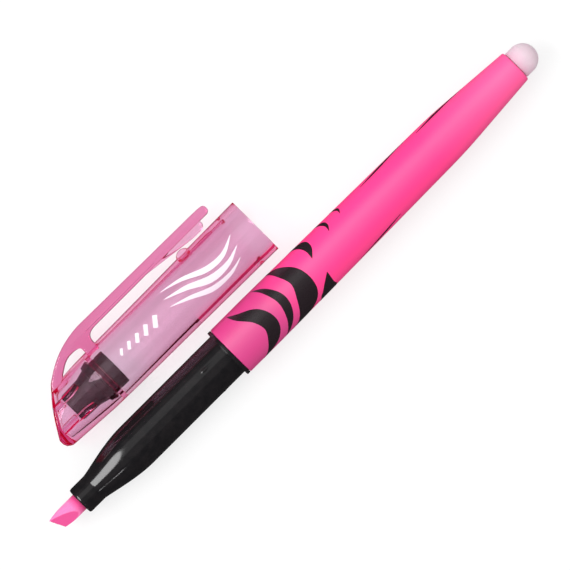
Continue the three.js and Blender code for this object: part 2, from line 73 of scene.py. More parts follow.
# ---- Places that come from the frame, in metres ----


def axis_of(node):
    """Where a turned node's axis lies, across and up."""
    low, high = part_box(node)
    return (low.y + high.y) / 2, (low.z + high.z) / 2


NIB_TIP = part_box("nib")[0].x
PEN_PLACE = Vector((NIB_TIP, *axis_of("barrel")))
CAP_PLACE = Vector((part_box("cap_shell")[1].x, *axis_of("inner_cap")))


def pen_station(node, end):
    """How far a node's front (0) or rear (1) lies behind the nib's tip, in millimetres."""
    return (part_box(node)[end].x - NIB_TIP) / MM


def cap_station(node, end):
    """How far a node's mouth side (0) or closed side (1) lies from the cap's mouth, in millimetres."""
    return (CAP_PLACE.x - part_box(node)[1 - end].x) / MM


SNOUT_FRONT = pen_station("grip_section", 0)
SPIGOT_END = pen_station("grip_section", 1)
BARREL_FRONT = pen_station("barrel", 0)
BARREL_END = pen_station("barrel", 1)
PEN_END = pen_station("eraser", 1)
ERASER_STEM_FRONT = pen_station("eraser", 0)
NIB_END = pen_station("nib", 1)
RESERVOIR_END = pen_station("reservoir_film", 1)
BARREL_RADIUS = (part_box("barrel")[1].z - PEN_PLACE.z) / MM
CAP_RADIUS = (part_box("cap_shell")[1].z - CAP_PLACE.z) / MM
CAP_END = cap_station("cap_shell", 1)
INNER_MOUTH = cap_station("inner_cap", 0)
INNER_REAR = cap_station("inner_cap", 1)
CLIP_TIP = cap_station("clip_arm", 0)
CLIP_ROOT = cap_station("clip_arm", 1)
CLIP_TOP = (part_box("clip_arm")[1].y - CAP_PLACE.y) / MM
PAD_RADIUS = 1.75
PAD_STATION = CLIP_TIP + 10.1
PAD_HEIGHT = CAP_RADIUS + 0.75 - PAD_RADIUS

# ---- What a user would change ----


def length(label, about, value, low=0.0):
    """A size in metres, given here in millimetres."""
    return bpy.props.FloatProperty(
        name=label,
        description=about,
        default=value * MM,
        min=low,
        unit="LENGTH",
        subtype="DISTANCE",
        precision=5,
    )


def colour(label, about, value):
    return bpy.props.FloatVectorProperty(
        name=label, description=about, default=value, size=3, min=0.0, max=1.0, subtype="COLOR"
    )


def factor(label, about, value, high=1.0):
    return bpy.props.FloatProperty(name=label, description=about, default=value, min=0.0, max=high)


def count(label, about, value, low, high):
    return bpy.props.IntProperty(name=label, description=about, default=value, min=low, max=high)


class PenSizes(bpy.types.PropertyGroup):
    """Sizes of the pen."""

    sides: count("Sides", "Sides of every turned piece", 192, 24, 360)
    grip: length("Grip radius", "Radius of the black grip", 4.85)
    snout: length("Snout radius", "Radius of the snout that holds the nib", 3.05)
    snout_length: length("Snout length", "Straight part of the snout", 4.1)
    shoulder: length("Shoulder length", "From the snout to the grip", 11.9)
    collar: length("Collar length", "The black collar in front of the barrel", 0.85)
    straight: length("Straight length", "Front of the barrel, before it narrows", 8.6)
    tail: length("Tail length", "The barrel's coned tail", 18.9)
    tail_radius: length("Tail radius", "Barrel radius where the tail starts", 5.06)
    end_radius: length("End radius", "Barrel radius at its end", 3.6)
    nib: length("Nib radius", "Radius of the felt nib", 1.95)
    eraser: length("Eraser radius", "Radius of the rubber", 3.15)
    print_height: length("Ink height", "How far the printed ink stands off the barrel", 0.022)


class CapSizes(bpy.types.PropertyGroup):
    """Sizes of the cap."""

    sides: count("Sides", "Sides of the cap's tube", 224, 24, 360)
    bore: length("Bore radius", "Inside of the cap where it holds the grip", 5.05)
    clip_width: length("Clip width", "Width of the clip at its root", 5.0)
    tip_width: length("Tip width", "Width of the clip at its tip", 4.2)
    clip_thickness: length("Clip thickness", "Thickness of the clip", 2.38)
    keel_width: length("Keel width", "Width of the keel under the clip", 2.4)
    edge: length("Edge rounding", "Rounding of the clip's edges", 0.42)
    corner: length("Corner rounding", "Rounding of the closed end's edge", 0.55)
    fin: length("Fin thickness", "Thickness of the fins in the closed end", 1.3)
    print_height: length("Ink height", "How far the printed ink stands off the cap", 0.022)


class Finishes(bpy.types.PropertyGroup):
    """Colours and gloss."""

    pink: colour("Barrel pink", "Colour of the barrel", (1.0, 0.028, 0.235))
    pale_pink: colour("Barrel ends", "Colour of the barrel's tail", (1.0, 0.085, 0.30))
    dull_pink: colour("Barrel rim", "Colour of the barrel over the spigot", (0.62, 0.038, 0.215))
    black: colour("Black", "Colour of the grip section", (0.007, 0.0065, 0.0075))
    ink: colour("Printed black", "Colour of the bands on the barrel", (0.012, 0.007, 0.009))
    white_ink: colour("Printed white", "Colour of the marks on the cap", (0.80, 0.69, 0.77))
    # painted light: the felt of the round side is painted lighter, a painted highlight, and the felt of the
    # cut faces darker, painted shade
    felt: colour("Felt", "Colour of the inked nib", (0.88, 0.20, 0.46))
    shaded_cut_felt: colour("Cut felt", "Colour of the nib's cut faces", (0.76, 0.060, 0.27))
    rubber: colour("Rubber", "Colour of the eraser", (0.66, 0.535, 0.59))
    clear_tint: colour("Cap tint", "Colour that the cap's plastic lets through", (0.88, 0.0, 0.457))
    clear_density: factor("Cap depth", "How strongly the cap's plastic colours light", 308.0, 2000.0)


class StageSettings(bpy.types.PropertyGroup):
    """Floor, light and camera."""

    view_width: length("View width", "Width that the camera sees", 112.97)
    lens: factor("Lens", "Focal length of the camera, in millimetres", 400.0, 2000.0)
    view_x: length("View centre along the pen", "From the middle of the whole", -0.92, -1.0)
    view_y: length("View centre across the pen", "From the middle of the whole", -7.985, -1.0)
    turn: bpy.props.FloatProperty(
        name="Turn",
        description="How far the camera is turned about the vertical",
        default=math.radians(-44.99),
        subtype="ANGLE",
    )
    floor_colour: colour("Floor", "Colour of the floor", (0.22, 0.22, 0.22))
    floor_glow: factor("Floor glow", "Light that the floor gives of its own", 0.72, 10.0)


# ---- Geometry node trees ----


def new_tree(name, inputs):
    """An empty geometry node tree with named inputs, each a (name, socket type, default)."""
    tree = bpy.data.node_groups.new(name, "GeometryNodeTree")
    for label, kind, default in inputs:
        socket = tree.interface.new_socket(label, in_out="INPUT", socket_type="NodeSocket" + kind)
        if default is not None:
            socket.default_value = default
    tree.interface.new_socket("Geometry", in_out="OUTPUT", socket_type="NodeSocketGeometry")
    source = tree.nodes.new("NodeGroupInput")
    result = tree.nodes.new("NodeGroupOutput")
    return tree, source, result


def set_inputs(node, values):
    """Plain values on a node's own inputs."""
    for key, value in values.items():
        node.inputs[key].default_value = value


def add_node(tree, kind, settings=None, values=None, links=None):
    """A node with its settings, the plain values of its inputs and the outputs linked to its inputs."""
    node = tree.nodes.new(kind)
    for key, value in (settings or {}).items():
        setattr(node, key, value)
    set_inputs(node, values or {})
    for key, output in (links or {}).items():
        tree.links.new(output, node.inputs[key])
    return node


def maths(tree, operation, *operands):
    """The result of a Math node, whose operands are outputs or plain numbers."""
    node = add_node(tree, "ShaderNodeMath", {"operation": operation})
    for socket, item in zip(node.inputs, operands):
        if isinstance(item, bpy.types.NodeSocket):
            tree.links.new(item, socket)
        else:
            socket.default_value = item
    return node.outputs[0]


def end_tree(tree, mesh, material, result):
    """Ends a tree: copies become real mesh, and it gets its material."""
    real = add_node(tree, "GeometryNodeRealizeInstances", links={"Geometry": mesh})
    painted = add_node(
        tree,
        "GeometryNodeSetMaterial",
        links={"Geometry": real.outputs[0], "Material": material},
    )
    tree.links.new(painted.outputs[0], result.inputs[0])


def turned_tree():
    """Turned piece: an outline of (radius, along) is rounded and swept round the X axis."""
    tree, source, result = new_tree(
        "Turned piece",
        [
            ("Outline", "Geometry", None),
            ("Sides", "Int", 96),
            ("Corner steps", "Int", 5),
            ("Guide radius", "Float", 1.0),
            ("Material", "Material", None),
        ],
    )
    line = add_node(tree, "GeometryNodeMeshToCurve", links={"Mesh": source.outputs["Outline"]})
    rounding = add_node(
        tree, "GeometryNodeInputNamedAttribute", {"data_type": "FLOAT"}, {"Name": "rounding"}
    )
    fillet = add_node(
        tree,
        "GeometryNodeFilletCurve",
        {"mode": "POLY"},
        {"Limit Radius": True},
        {
            "Curve": line.outputs[0],
            "Radius": rounding.outputs[0],
            "Count": source.outputs["Corner steps"],
        },
    )
    guide_radius = source.outputs["Guide radius"]
    shift = add_node(
        tree, "ShaderNodeVectorMath", {"operation": "SCALE"}, {0: (-1, 0, 0)}, {"Scale": guide_radius}
    )
    outline = add_node(
        tree,
        "GeometryNodeTransform",
        links={"Geometry": fillet.outputs[0], "Translation": shift.outputs[0]},
    )
    guide = add_node(
        tree,
        "GeometryNodeCurvePrimitiveCircle",
        {"mode": "RADIUS"},
        links={"Resolution": source.outputs["Sides"], "Radius": guide_radius},
    )
    swept = add_node(
        tree,
        "GeometryNodeCurveToMesh",
        links={"Curve": guide.outputs[0], "Profile Curve": outline.outputs[0]},
    )
    laid = add_node(
        tree,
        "GeometryNodeTransform",
        values={"Rotation": (0, -math.pi / 2, 0)},
        links={"Geometry": swept.outputs[0]},
    )
    joined = add_node(
        tree,
        "GeometryNodeMergeByDistance",
        values={"Distance": DOUBLES},
        links={"Geometry": laid.outputs[0]},
    )
    end_tree(tree, joined.outputs[0], source.outputs["Material"], result)
    return tree


def ring_tree():
    """Ring of copies: one copy is repeated round the X axis."""
    tree, source, result = new_tree(
        "Ring of copies",
        [
            ("One copy", "Geometry", None),
            ("Count", "Int", 4),
            ("First angle", "Float", 0.0),
            ("Material", "Material", None),
        ],
    )
    points = add_node(tree, "GeometryNodePoints", links={"Count": source.outputs["Count"]})
    index = add_node(tree, "GeometryNodeInputIndex")
    step = maths(tree, "DIVIDE", 2 * math.pi, source.outputs["Count"])
    angle = maths(tree, "MULTIPLY_ADD", index.outputs[0], step, source.outputs["First angle"])
    turn = add_node(tree, "ShaderNodeCombineXYZ", links={"X": angle})
    copies = add_node(
        tree,
        "GeometryNodeInstanceOnPoints",
        links={
            "Points": points.outputs[0],
            "Instance": source.outputs["One copy"],
            "Rotation": turn.outputs[0],
        },
    )
    end_tree(tree, copies.outputs[0], source.outputs["Material"], result)
    return tree


def stroke_tree():
    """Printed strokes: flat centre lines with a width become thin ribbons round a tapering tube."""
    tree, source, result = new_tree(
        "Printed strokes",
        [
            ("Centre lines", "Geometry", None),
            ("Steps along", "Int", 48),
            ("Steps across", "Int", 17),
            ("Front radius", "Float", 5.7),
            ("Middle radius", "Float", 5.06),
            ("Rear radius", "Float", 3.6),
            ("Front", "Float", 58.0),
            ("Middle", "Float", 110.4),
            ("Rear", "Float", 129.3),
            ("Gap", "Float", 0.006),
            ("Height", "Float", 0.02),
            ("Material", "Material", None),
        ],
    )
    smooth = add_node(
        tree,
        "GeometryNodeCurveSplineType",
        {"spline_type": "CATMULL_ROM"},
        links={"Curve": source.outputs[0]},
    )
    fine = add_node(
        tree,
        "GeometryNodeSetSplineResolution",
        values={"Resolution": 24},
        links={0: smooth.outputs[0]},
    )
    line = add_node(
        tree,
        "GeometryNodeResampleCurve",
        links={"Curve": fine.outputs[0], "Count": source.outputs["Steps along"]},
    )
    level = add_node(
        tree, "GeometryNodeSetCurveNormal", {"mode": "Z_UP"}, links={"Curve": line.outputs[0]}
    )
    sheet = add_node(
        tree,
        "GeometryNodeMeshGrid",
        values={"Size X": 2.0, "Size Y": 0.1, "Vertices Y": 2},
        links={"Vertices X": source.outputs["Steps across"]},
    )
    faces = add_node(tree, "GeometryNodeInputMeshEdgeNeighbors")
    rim = add_node(
        tree,
        "FunctionNodeCompare",
        {"data_type": "INT", "operation": "EQUAL"},
        {3: 1},
        {2: faces.outputs[0]},
    )
    section = add_node(
        tree,
        "GeometryNodeMeshToCurve",
        links={"Mesh": sheet.outputs[0], "Selection": rim.outputs["Result"]},
    )
    ribbon = add_node(
        tree,
        "GeometryNodeCurveToMesh",
        values={"Fill Caps": True},
        links={"Curve": level.outputs[0], "Profile Curve": section.outputs[0]},
    )
    radius_field = add_node(tree, "GeometryNodeInputRadius")
    if "Scale" in ribbon.inputs:
        tree.links.new(radius_field.outputs[0], ribbon.inputs["Scale"])
    place = add_node(tree, "GeometryNodeInputPosition")
    flat = add_node(tree, "ShaderNodeSeparateXYZ", links={0: place.outputs[0]})

    def ranged(start, end, first, last, along):
        return add_node(
            tree,
            "ShaderNodeMapRange",
            {"clamp": True},
            links={"Value": along, "From Min": start, "From Max": end, "To Min": first, "To Max": last},
        ).outputs[0]

    named = source.outputs
    along_tube, round_tube, thick = flat.outputs
    front_part = ranged(
        named["Front"], named["Middle"], named["Front radius"], named["Middle radius"], along_tube
    )
    tube = ranged(named["Middle"], named["Rear"], front_part, named["Rear radius"], along_tube)
    turn = maths(tree, "DIVIDE", round_tube, named["Front radius"])
    upper = add_node(
        tree,
        "FunctionNodeCompare",
        {"data_type": "FLOAT", "operation": "GREATER_THAN"},
        {1: 0.0},
        {0: thick},
    )
    stand = add_node(
        tree,
        "GeometryNodeSwitch",
        {"input_type": "FLOAT"},
        links={"Switch": upper.outputs[0], "False": named["Gap"], "True": named["Height"]},
    )
    radius = maths(tree, "ADD", tube, stand.outputs[0])
    across = maths(tree, "MULTIPLY", maths(tree, "SINE", turn), radius)
    up = maths(tree, "MULTIPLY", maths(tree, "COSINE", turn), radius)
    wrapped = add_node(
        tree, "ShaderNodeCombineXYZ", links={"X": along_tube, "Y": across, "Z": up}
    )
    moved = add_node(
        tree,
        "GeometryNodeSetPosition",
        links={"Geometry": ribbon.outputs[0], "Position": wrapped.outputs[0]},
    )
    end_tree(tree, moved.outputs[0], source.outputs["Material"], result)
    return tree


TREES = {"turned": turned_tree, "ring": ring_tree, "strokes": stroke_tree}


def tree_named(key):
    """A tree by its short name, made the first time that it is asked for."""
    label = "highlighter_" + key
    if label not in bpy.data.node_groups:
        TREES[key]().name = label
    return bpy.data.node_groups[label]


def run_tree(source, key, values):
    """The plain mesh that a tree makes of an object, which is then removed."""
    tree = tree_named(key)
    modifier = source.modifiers.new(key, "NODES")
    modifier.node_group = tree
    for socket in tree.interface.items_tree:
        if socket.item_type == "SOCKET" and socket.in_out == "INPUT" and socket.name in values:
            modifier[socket.identifier] = values[socket.name]
    mesh = evaluated(source)
    source.modifiers.remove(modifier)
    bpy.data.objects.remove(source)
    return mesh


# ---- Mesh helpers: they work in millimetres, and placed() brings the result into the shared frame ----


def evaluated(source):
    """A plain mesh of an object with its modifiers applied."""
    bpy.context.view_layer.update()
    graph = bpy.context.evaluated_depsgraph_get()
    return bpy.data.meshes.new_from_object(source.evaluated_get(graph))


def linked(name, data):
    piece = bpy.data.objects.new(name, data)
    bpy.context.scene.collection.objects.link(piece)
    return piece


def new_mesh(name, points, faces, edges=()):
    mesh = bpy.data.meshes.new(name)
    points = [tuple(map(float, point)) for point in points]
    faces = [tuple(map(int, face)) for face in faces]
    mesh.from_pydata(points, list(edges), faces)
    mesh.validate()
    return mesh


def coordinates(mesh):
    data = np.empty(len(mesh.vertices) * 3)
    mesh.vertices.foreach_get("co", data)
    return data.reshape(-1, 3)


def set_coordinates(mesh, points):
    mesh.vertices.foreach_set("co", np.asarray(points, float).ravel())
    mesh.update()


def volume(mesh):
    """Signed volume: above nothing when the faces point out."""
    mesh.calc_loop_triangles()
    corners = np.empty(len(mesh.loop_triangles) * 3, np.int32)
    mesh.loop_triangles.foreach_get("vertices", corners)
    a, b, c = (coordinates(mesh)[corners.reshape(-1, 3)[:, i]] for i in range(3))
    return float((a * np.cross(b, c)).sum() / 6)


def pointing_out(mesh):
    if volume(mesh) < 0:
        mesh.flip_normals()
    return mesh


def turned(outline, sides, closed=True, steps=5):
    """A turned mesh from (along, radius, rounding) points. An open outline ends on the axis."""
    points = [(r, x, 0) for x, r, _ in outline]
    edges = [(i, i + 1) for i in range(len(points) - 1)]
    if closed:
        edges.append((len(points) - 1, 0))
    mesh = new_mesh("outline", points, [], edges)
    rounding = mesh.attributes.new("rounding", "FLOAT", "POINT")
    rounding.data.foreach_set("value", [float(p[2]) for p in outline])
    values = {"Sides": sides, "Corner steps": steps}
    return pointing_out(run_tree(linked("outline", mesh), "turned", values))


def ring(mesh, number, first_angle):
    """Copies of a mesh round the X axis."""
    values = {"Count": number, "First angle": math.radians(first_angle)}
    return run_tree(linked("copy", mesh), "ring", values)


def squeezed_ball(half_sizes, centre, sides):
    """A ball squeezed to three half sizes."""
    ball = arc_points((0, 0), 1, 0, 180, 16)
    bump = turned([(x, r, 0) for x, r in ball], sides, closed=False)
    set_coordinates(bump, coordinates(bump) * half_sizes + centre)
    return bump


def curve_points(points, number):
    """Points on a cubic Bezier curve."""
    a, b, c, d = (np.array(p, float) for p in points)
    t = np.linspace(0, 1, number + 1)[:, None]
    return (1 - t) ** 3 * a + 3 * (1 - t) ** 2 * t * b + 3 * (1 - t) * t * t * c + t**3 * d


def arc_points(centre, radius, start, end, number):
    angles = np.radians(np.linspace(start, end, number + 1))
    return np.array(centre) + radius * np.stack([np.cos(angles), np.sin(angles)], 1)


def plate(loops, width, edge):
    """A plate with rounded edges from flat outlines in X and Y. Inner outlines are holes."""
    data = bpy.data.curves.new("plate", "CURVE")
    data.dimensions = "2D"
    data.fill_mode = "BOTH"
    data.extrude = width / 2 - edge
    data.bevel_depth = edge
    data.bevel_resolution = 3
    data.offset = -edge
    for loop in loops:
        spline = data.splines.new("POLY")
        spline.points.add(len(loop) - 1)
        spline.points.foreach_set("co", np.array([(x, y, 0, 1) for x, y in loop], float).ravel())
        spline.use_cyclic_u = True
    source = linked("plate", data)
    mesh = evaluated(source)
    bpy.data.objects.remove(source)
    return pointing_out(merged(mesh, 1e-3))


def modified(mesh, kind, **settings):
    """A mesh after one modifier."""
    source = linked("modified", mesh)
    modifier = source.modifiers.new(kind, kind)
    for key, value in settings.items():
        setattr(modifier, key, value)
    result = evaluated(source)
    bpy.data.objects.remove(source)
    return result


def merged(mesh, distance):
    """Merges the doubles of a mesh."""
    return modified(mesh, "WELD", merge_threshold=distance)


def encloses(mesh):
    """True for a mesh that encloses a volume without a gap."""
    loops = np.empty(len(mesh.loops), np.int32)
    mesh.loops.foreach_get("edge_index", loops)
    return bool((np.bincount(loops, minlength=len(mesh.edges)) == 2).all()) and volume(mesh) > 0


def combined(base, steps):
    """A mesh joined with, cut by or kept inside other meshes, one after another."""
    for operation, mesh in steps:
        if not encloses(mesh):
            raise RuntimeError("a mesh to combine isn't closed")
        tool = linked("tool", mesh)
        result = modified(base, "BOOLEAN", operation=operation, solver="MANIFOLD", object=tool)
        bpy.data.objects.remove(tool)
        if abs(volume(result) - volume(base)) < LEAST_CHANGE:
            raise RuntimeError("a mesh couldn't be combined")
        base = result
    return base


def with_even_normals(mesh):
    """Normals weighted by face size, so that a long straight stretch looks straight."""
    return modified(mesh, "WEIGHTED_NORMAL", mode="FACE_AREA", keep_sharp=True)


def placed(name, mesh, place, material, angle=SMOOTH_ANGLE, weighted=False):
    """A finished piece at the origin, with its place in its mesh, smooth but for its sharp edges."""
    set_coordinates(mesh, coordinates(mesh) * MM + np.array(place))
    mesh.name = name
    mesh.materials.clear()
    mesh.materials.append(material)
    mesh.polygons.foreach_set("use_smooth", [True] * len(mesh.polygons))
    mesh.polygons.foreach_set("material_index", [0] * len(mesh.polygons))
    if angle:
        mesh.set_sharp_from_angle(angle=angle)
    mesh.update()
    if weighted:
        mesh = with_even_normals(mesh)
        mesh.name = name
    return linked(name, mesh)


# ---- Materials ----


def new_material(name):
    """A material with a Principled shader, and its tree."""
    material = bpy.data.materials.new(name)
    material.use_nodes = True
    tree = material.node_tree
    shader = next(n for n in tree.nodes if n.type == "BSDF_PRINCIPLED")
    return material, tree, shader


def object_place(tree, centre=(0, 0, 0), scale=(1, 1, 1)):
    """Object coordinates in millimetres, from a centre, stretched by a scale."""
    source = add_node(tree, "ShaderNodeTexCoord")
    stretch = [s / MM for s in scale]
    mapping = add_node(
        tree,
        "ShaderNodeMapping",
        values={"Location": [-c * s for c, s in zip(centre, stretch)], "Scale": stretch},
        links={"Vector": source.outputs["Object"]},
    )
    return mapping.outputs[0]


def noise(tree, vector, scale, detail=2.0, roughness=0.5):
    return add_node(
        tree,
        "ShaderNodeTexNoise",
        values={"Scale": scale, "Detail": detail, "Roughness": roughness},
        links={"Vector": vector},
    ).outputs["Fac"]


def ramp(tree, value, stops):
    """A colour ramp through (place, colour) stops."""
    node = add_node(tree, "ShaderNodeValToRGB", links={"Fac": value})
    elements = node.color_ramp.elements
    while len(elements) < len(stops):
        elements.new(0.5)
    for element, (place, shade) in zip(elements, stops):
        element.position = place
        element.color = (*shade, 1)
    return node.outputs[0]


def spread(tree, value, low, high, start=0.0, end=1.0):
    """Brings a value from one range into another."""
    return add_node(
        tree,
        "ShaderNodeMapRange",
        values={"From Min": start, "From Max": end, "To Min": low, "To Max": high},
        links={"Value": value},
    ).outputs[0]


def coloured(tree, shader, shade):
    tree.links.new(shade, shader.inputs["Base Color"])


def roughened(tree, shader, grain, low, high, start=0.3, end=0.7):
    """Roughness that runs between two values with a grain."""
    tree.links.new(spread(tree, grain, low, high, start, end), shader.inputs["Roughness"])


def bumped(tree, shader, height, depth, strength=1.0):
    """Relief on a shader from a height, with its depth in millimetres."""
    node = add_node(
        tree,
        "ShaderNodeBump",
        values={"Strength": strength, "Distance": depth * MM},
        links={"Height": height},
    )
    tree.links.new(node.outputs[0], shader.inputs["Normal"])


def mixed(tree, amount, first, second):
    """A mix of two colours, each a colour or an output."""
    node = add_node(tree, "ShaderNodeMix", {"data_type": "RGBA", "clamp_factor": True})
    for socket, item in ((node.inputs[0], amount), (node.inputs[6], first), (node.inputs[7], second)):
        if isinstance(item, bpy.types.NodeSocket):
            tree.links.new(item, socket)
        elif isinstance(item, (int, float)):
            socket.default_value = item
        else:
            socket.default_value = (*item, 1)
    return node.outputs[2]


def along(tree, vector, start, end):
    """How far a point lies along X, as a share of a stretch in millimetres."""
    split = add_node(tree, "ShaderNodeSeparateXYZ", links={0: vector})
    return spread(tree, split.outputs[0], 0.0, 1.0, start, end)


def barrel_plastic():
    """Satin pink plastic, duller at the rim over the spigot and paler towards the tail."""
    looks = bpy.context.scene.highlighter_finishes
    material, tree, shader = new_material("pink_plastic")
    place = object_place(tree, PEN_PLACE)
    reach = along(tree, place, BARREL_FRONT, BARREL_END)
    dull, deep, pale = tuple(looks.dull_pink), tuple(looks.pink), tuple(looks.pale_pink)
    tone = ramp(tree, reach, [(0.0, dull), (0.14, dull), (0.29, deep), (0.70, deep), (0.95, pale)])
    flow = noise(tree, object_place(tree, PEN_PLACE, (0.05, 0.4, 0.4)), 1.0, 3.0)
    shade = mixed(tree, spread(tree, flow, 0.0, 0.10, 0.35, 0.65), tone, (0.9, 0.02, 0.21))
    coloured(tree, shader, shade)
    grain = noise(tree, place, 5.0, 4.0)
    roughened(tree, shader, grain, 0.34, 0.44)
    bumped(tree, shader, noise(tree, place, 14.0, 2.0), 0.006, 0.5)
    set_inputs(shader, {
        "IOR": 1.49,
        "Specular IOR Level": 0.9,
        "Coat Weight": 0.2,
        "Coat Roughness": 0.35,
    })
    return material


def black_plastic():
    """Polished black plastic with faint handling marks."""
    looks = bpy.context.scene.highlighter_finishes
    material, tree, shader = new_material("black_plastic")
    place = object_place(tree, PEN_PLACE)
    cloud = noise(tree, place, 0.6, 3.0)
    amount = spread(tree, cloud, 0.0, 1.0, 0.35, 0.65)
    shade = mixed(tree, amount, tuple(looks.black), (0.011, 0.0095, 0.0105))
    coloured(tree, shader, shade)
    marks = noise(tree, object_place(tree, PEN_PLACE, (0.6, 6.0, 6.0)), 1.0, 3.0)
    roughened(tree, shader, marks, 0.10, 0.17, 0.45, 0.75)
    bumped(tree, shader, noise(tree, place, 9.0, 2.0), 0.0015, 0.4)
    shader.inputs["IOR"].default_value = 1.5
    return material


def cup_plastic():
    """The inner cap's satin black, with red painted in for the pink light that reaches it through the clear
    cap.
    """
    material, tree, shader = new_material("cup_black_plastic")
    place = object_place(tree, CAP_PLACE)
    cloud = noise(tree, place, 0.8, 3.0)
    # painted light: the red in this black stands in for pink light coming through the cap
    coloured(tree, shader, mixed(tree, cloud, (0.012, 0.002, 0.004), (0.018, 0.003, 0.005)))
    roughened(tree, shader, noise(tree, place, 4.0), 0.16, 0.24)
    bumped(tree, shader, noise(tree, place, 10.0), 0.002, 0.3)
    shader.inputs["Specular IOR Level"].default_value = 0.12
    return material


def printed_ink(name, shade, other, place):
    """Printed ink: slightly uneven in tone and gloss."""
    material, tree, shader = new_material(name)
    spot = object_place(tree, place)
    coloured(tree, shader, mixed(tree, noise(tree, spot, 3.0, 4.0), shade, other))
    roughened(tree, shader, noise(tree, spot, 9.0, 3.0), 0.24, 0.38)
    bumped(tree, shader, noise(tree, spot, 20.0, 2.0), 0.002, 0.4)
    return material


def nib_felt():
    """Inked felt: fibres along the nib. Its round side is painted lighter than its cut faces, a painted
    highlight against painted shade, and painted shade darkens it where it enters the snout.
    """
    looks = bpy.context.scene.highlighter_finishes
    material, tree, shader = new_material("inked_felt")
    place = object_place(tree, PEN_PLACE)
    reach = along(tree, place, 0.0, SNOUT_FRONT)
    felt, cut = tuple(looks.felt), tuple(looks.shaded_cut_felt)
    # painted shade: the felt darkens towards the snout, where it goes into shade
    deep, snout_shade = (0.62, 0.04, 0.20), (0.42, 0.015, 0.10)
    rod = ramp(tree, reach, [(0.0, felt), (0.74, felt), (0.92, deep), (1.0, snout_shade)])
    parts = add_node(tree, "ShaderNodeSeparateXYZ", links={0: place})
    sides = add_node(tree, "ShaderNodeCombineXYZ", links={"Y": parts.outputs[1], "Z": parts.outputs[2]})
    off_axis = add_node(
        tree, "ShaderNodeVectorMath", {"operation": "LENGTH"}, links={0: sides.outputs[0]}
    )
    skin = spread(tree, off_axis.outputs["Value"], 0.0, 1.0, 1.74, 1.88)
    fibres = noise(tree, object_place(tree, PEN_PLACE, (1.2, 9.0, 9.0)), 1.0, 5.0, 0.65)
    # painted light: the round side gets the lighter felt as a painted highlight, and the cut faces get the
    # darker felt as painted shade
    tone = mixed(tree, skin, cut, rod)
    shade = mixed(tree, spread(tree, fibres, 0.0, 0.4, 0.35, 0.75), tone, (0.70, 0.045, 0.24))
    coloured(tree, shader, shade)
    roughened(tree, shader, fibres, 0.7, 0.95)
    bumped(tree, shader, fibres, 0.05, 0.7)
    set_inputs(shader, {"Sheen Weight": 0.15, "Sheen Roughness": 0.5})
    return material


def eraser_rubber():
    """Pale rubber, pinker towards the barrel: painted pink light from the barrel."""
    looks = bpy.context.scene.highlighter_finishes
    material, tree, shader = new_material("pale_rubber")
    place = object_place(tree, PEN_PLACE)
    reach = along(tree, place, BARREL_END, PEN_END)
    pale = tuple(looks.rubber)
    # painted light: the rubber is pinker next to the barrel, where pink light from the barrel falls on it
    barrel_light_pink, faint = (0.68, 0.36, 0.48), (0.67, 0.48, 0.56)
    tone = ramp(tree, reach, [(0.0, barrel_light_pink), (0.28, faint), (0.6, pale), (1.0, pale)])
    cloud = noise(tree, place, 1.2, 4.0)
    shade = mixed(tree, spread(tree, cloud, 0.0, 0.3, 0.35, 0.7), tone, (0.60, 0.49, 0.54))
    coloured(tree, shader, shade)
    roughened(tree, shader, noise(tree, place, 6.0, 3.0), 0.38, 0.55)
    bumped(tree, shader, noise(tree, place, 12.0, 3.0), 0.01, 0.5)
    set_inputs(shader, {
        "Subsurface Weight": 0.8,
        "Subsurface Radius": (1.0, 0.8, 0.9),
        "Subsurface Scale": 2.5 * MM,
    })
    return material


PAINTED_GLOW_AFTER = 1.5  # rays mirrored more often than this inside the wall get the painted pink glow


def clear_plastic():
    """Clear pink plastic: the deeper the light goes, the more pink it gets. Lamps shine through it.

    Rays mirrored more than once inside the wall meet a painted deep pink glow, which stands in for light
    caught in the wall."""
    looks = bpy.context.scene.highlighter_finishes
    material, tree, shader = new_material("clear_pink_plastic")
    place = object_place(tree, CAP_PLACE)
    set_inputs(shader, {
        "Base Color": (0.89, 0.955, 0.955, 1),
        "Transmission Weight": 1.0,
        "IOR": 1.49,
    })
    flow = noise(tree, object_place(tree, CAP_PLACE, (0.15, 0.8, 0.8)), 1.0, 3.0)
    roughened(tree, shader, flow, 0.0, 0.035, 0.4, 0.8)
    bumped(tree, shader, noise(tree, place, 0.25, 1.0), 0.010, 0.3)
    through = add_node(tree, "ShaderNodeBsdfTransparent", values={"Color": (0.97, 0.88, 0.92, 1)})
    light = add_node(tree, "ShaderNodeLightPath")
    choice = add_node(
        tree,
        "ShaderNodeMixShader",
        links={0: light.outputs["Is Shadow Ray"], 1: shader.outputs[0], 2: through.outputs[0]},
    )
    # painted glow: the plastic gives off deep pink light where rays have been mirrored inside the wall
    glow = add_node(tree, "ShaderNodeEmission", values={"Color": (0.8, 0.01, 0.13, 1), "Strength": 1.0})
    painted_glow_rays = maths(tree, "GREATER_THAN", light.outputs["Glossy Depth"], PAINTED_GLOW_AFTER)
    finish = add_node(
        tree,
        "ShaderNodeMixShader",
        links={0: painted_glow_rays, 1: choice.outputs[0], 2: glow.outputs[0]},
    )
    body = add_node(
        tree,
        "ShaderNodeVolumeAbsorption",
        values={"Color": (*looks.clear_tint, 1), "Density": looks.clear_density},
    )
    output = next(n for n in tree.nodes if n.type == "OUTPUT_MATERIAL")
    tree.links.new(finish.outputs[0], output.inputs["Surface"])
    tree.links.new(body.outputs[0], output.inputs["Volume"])
    return material


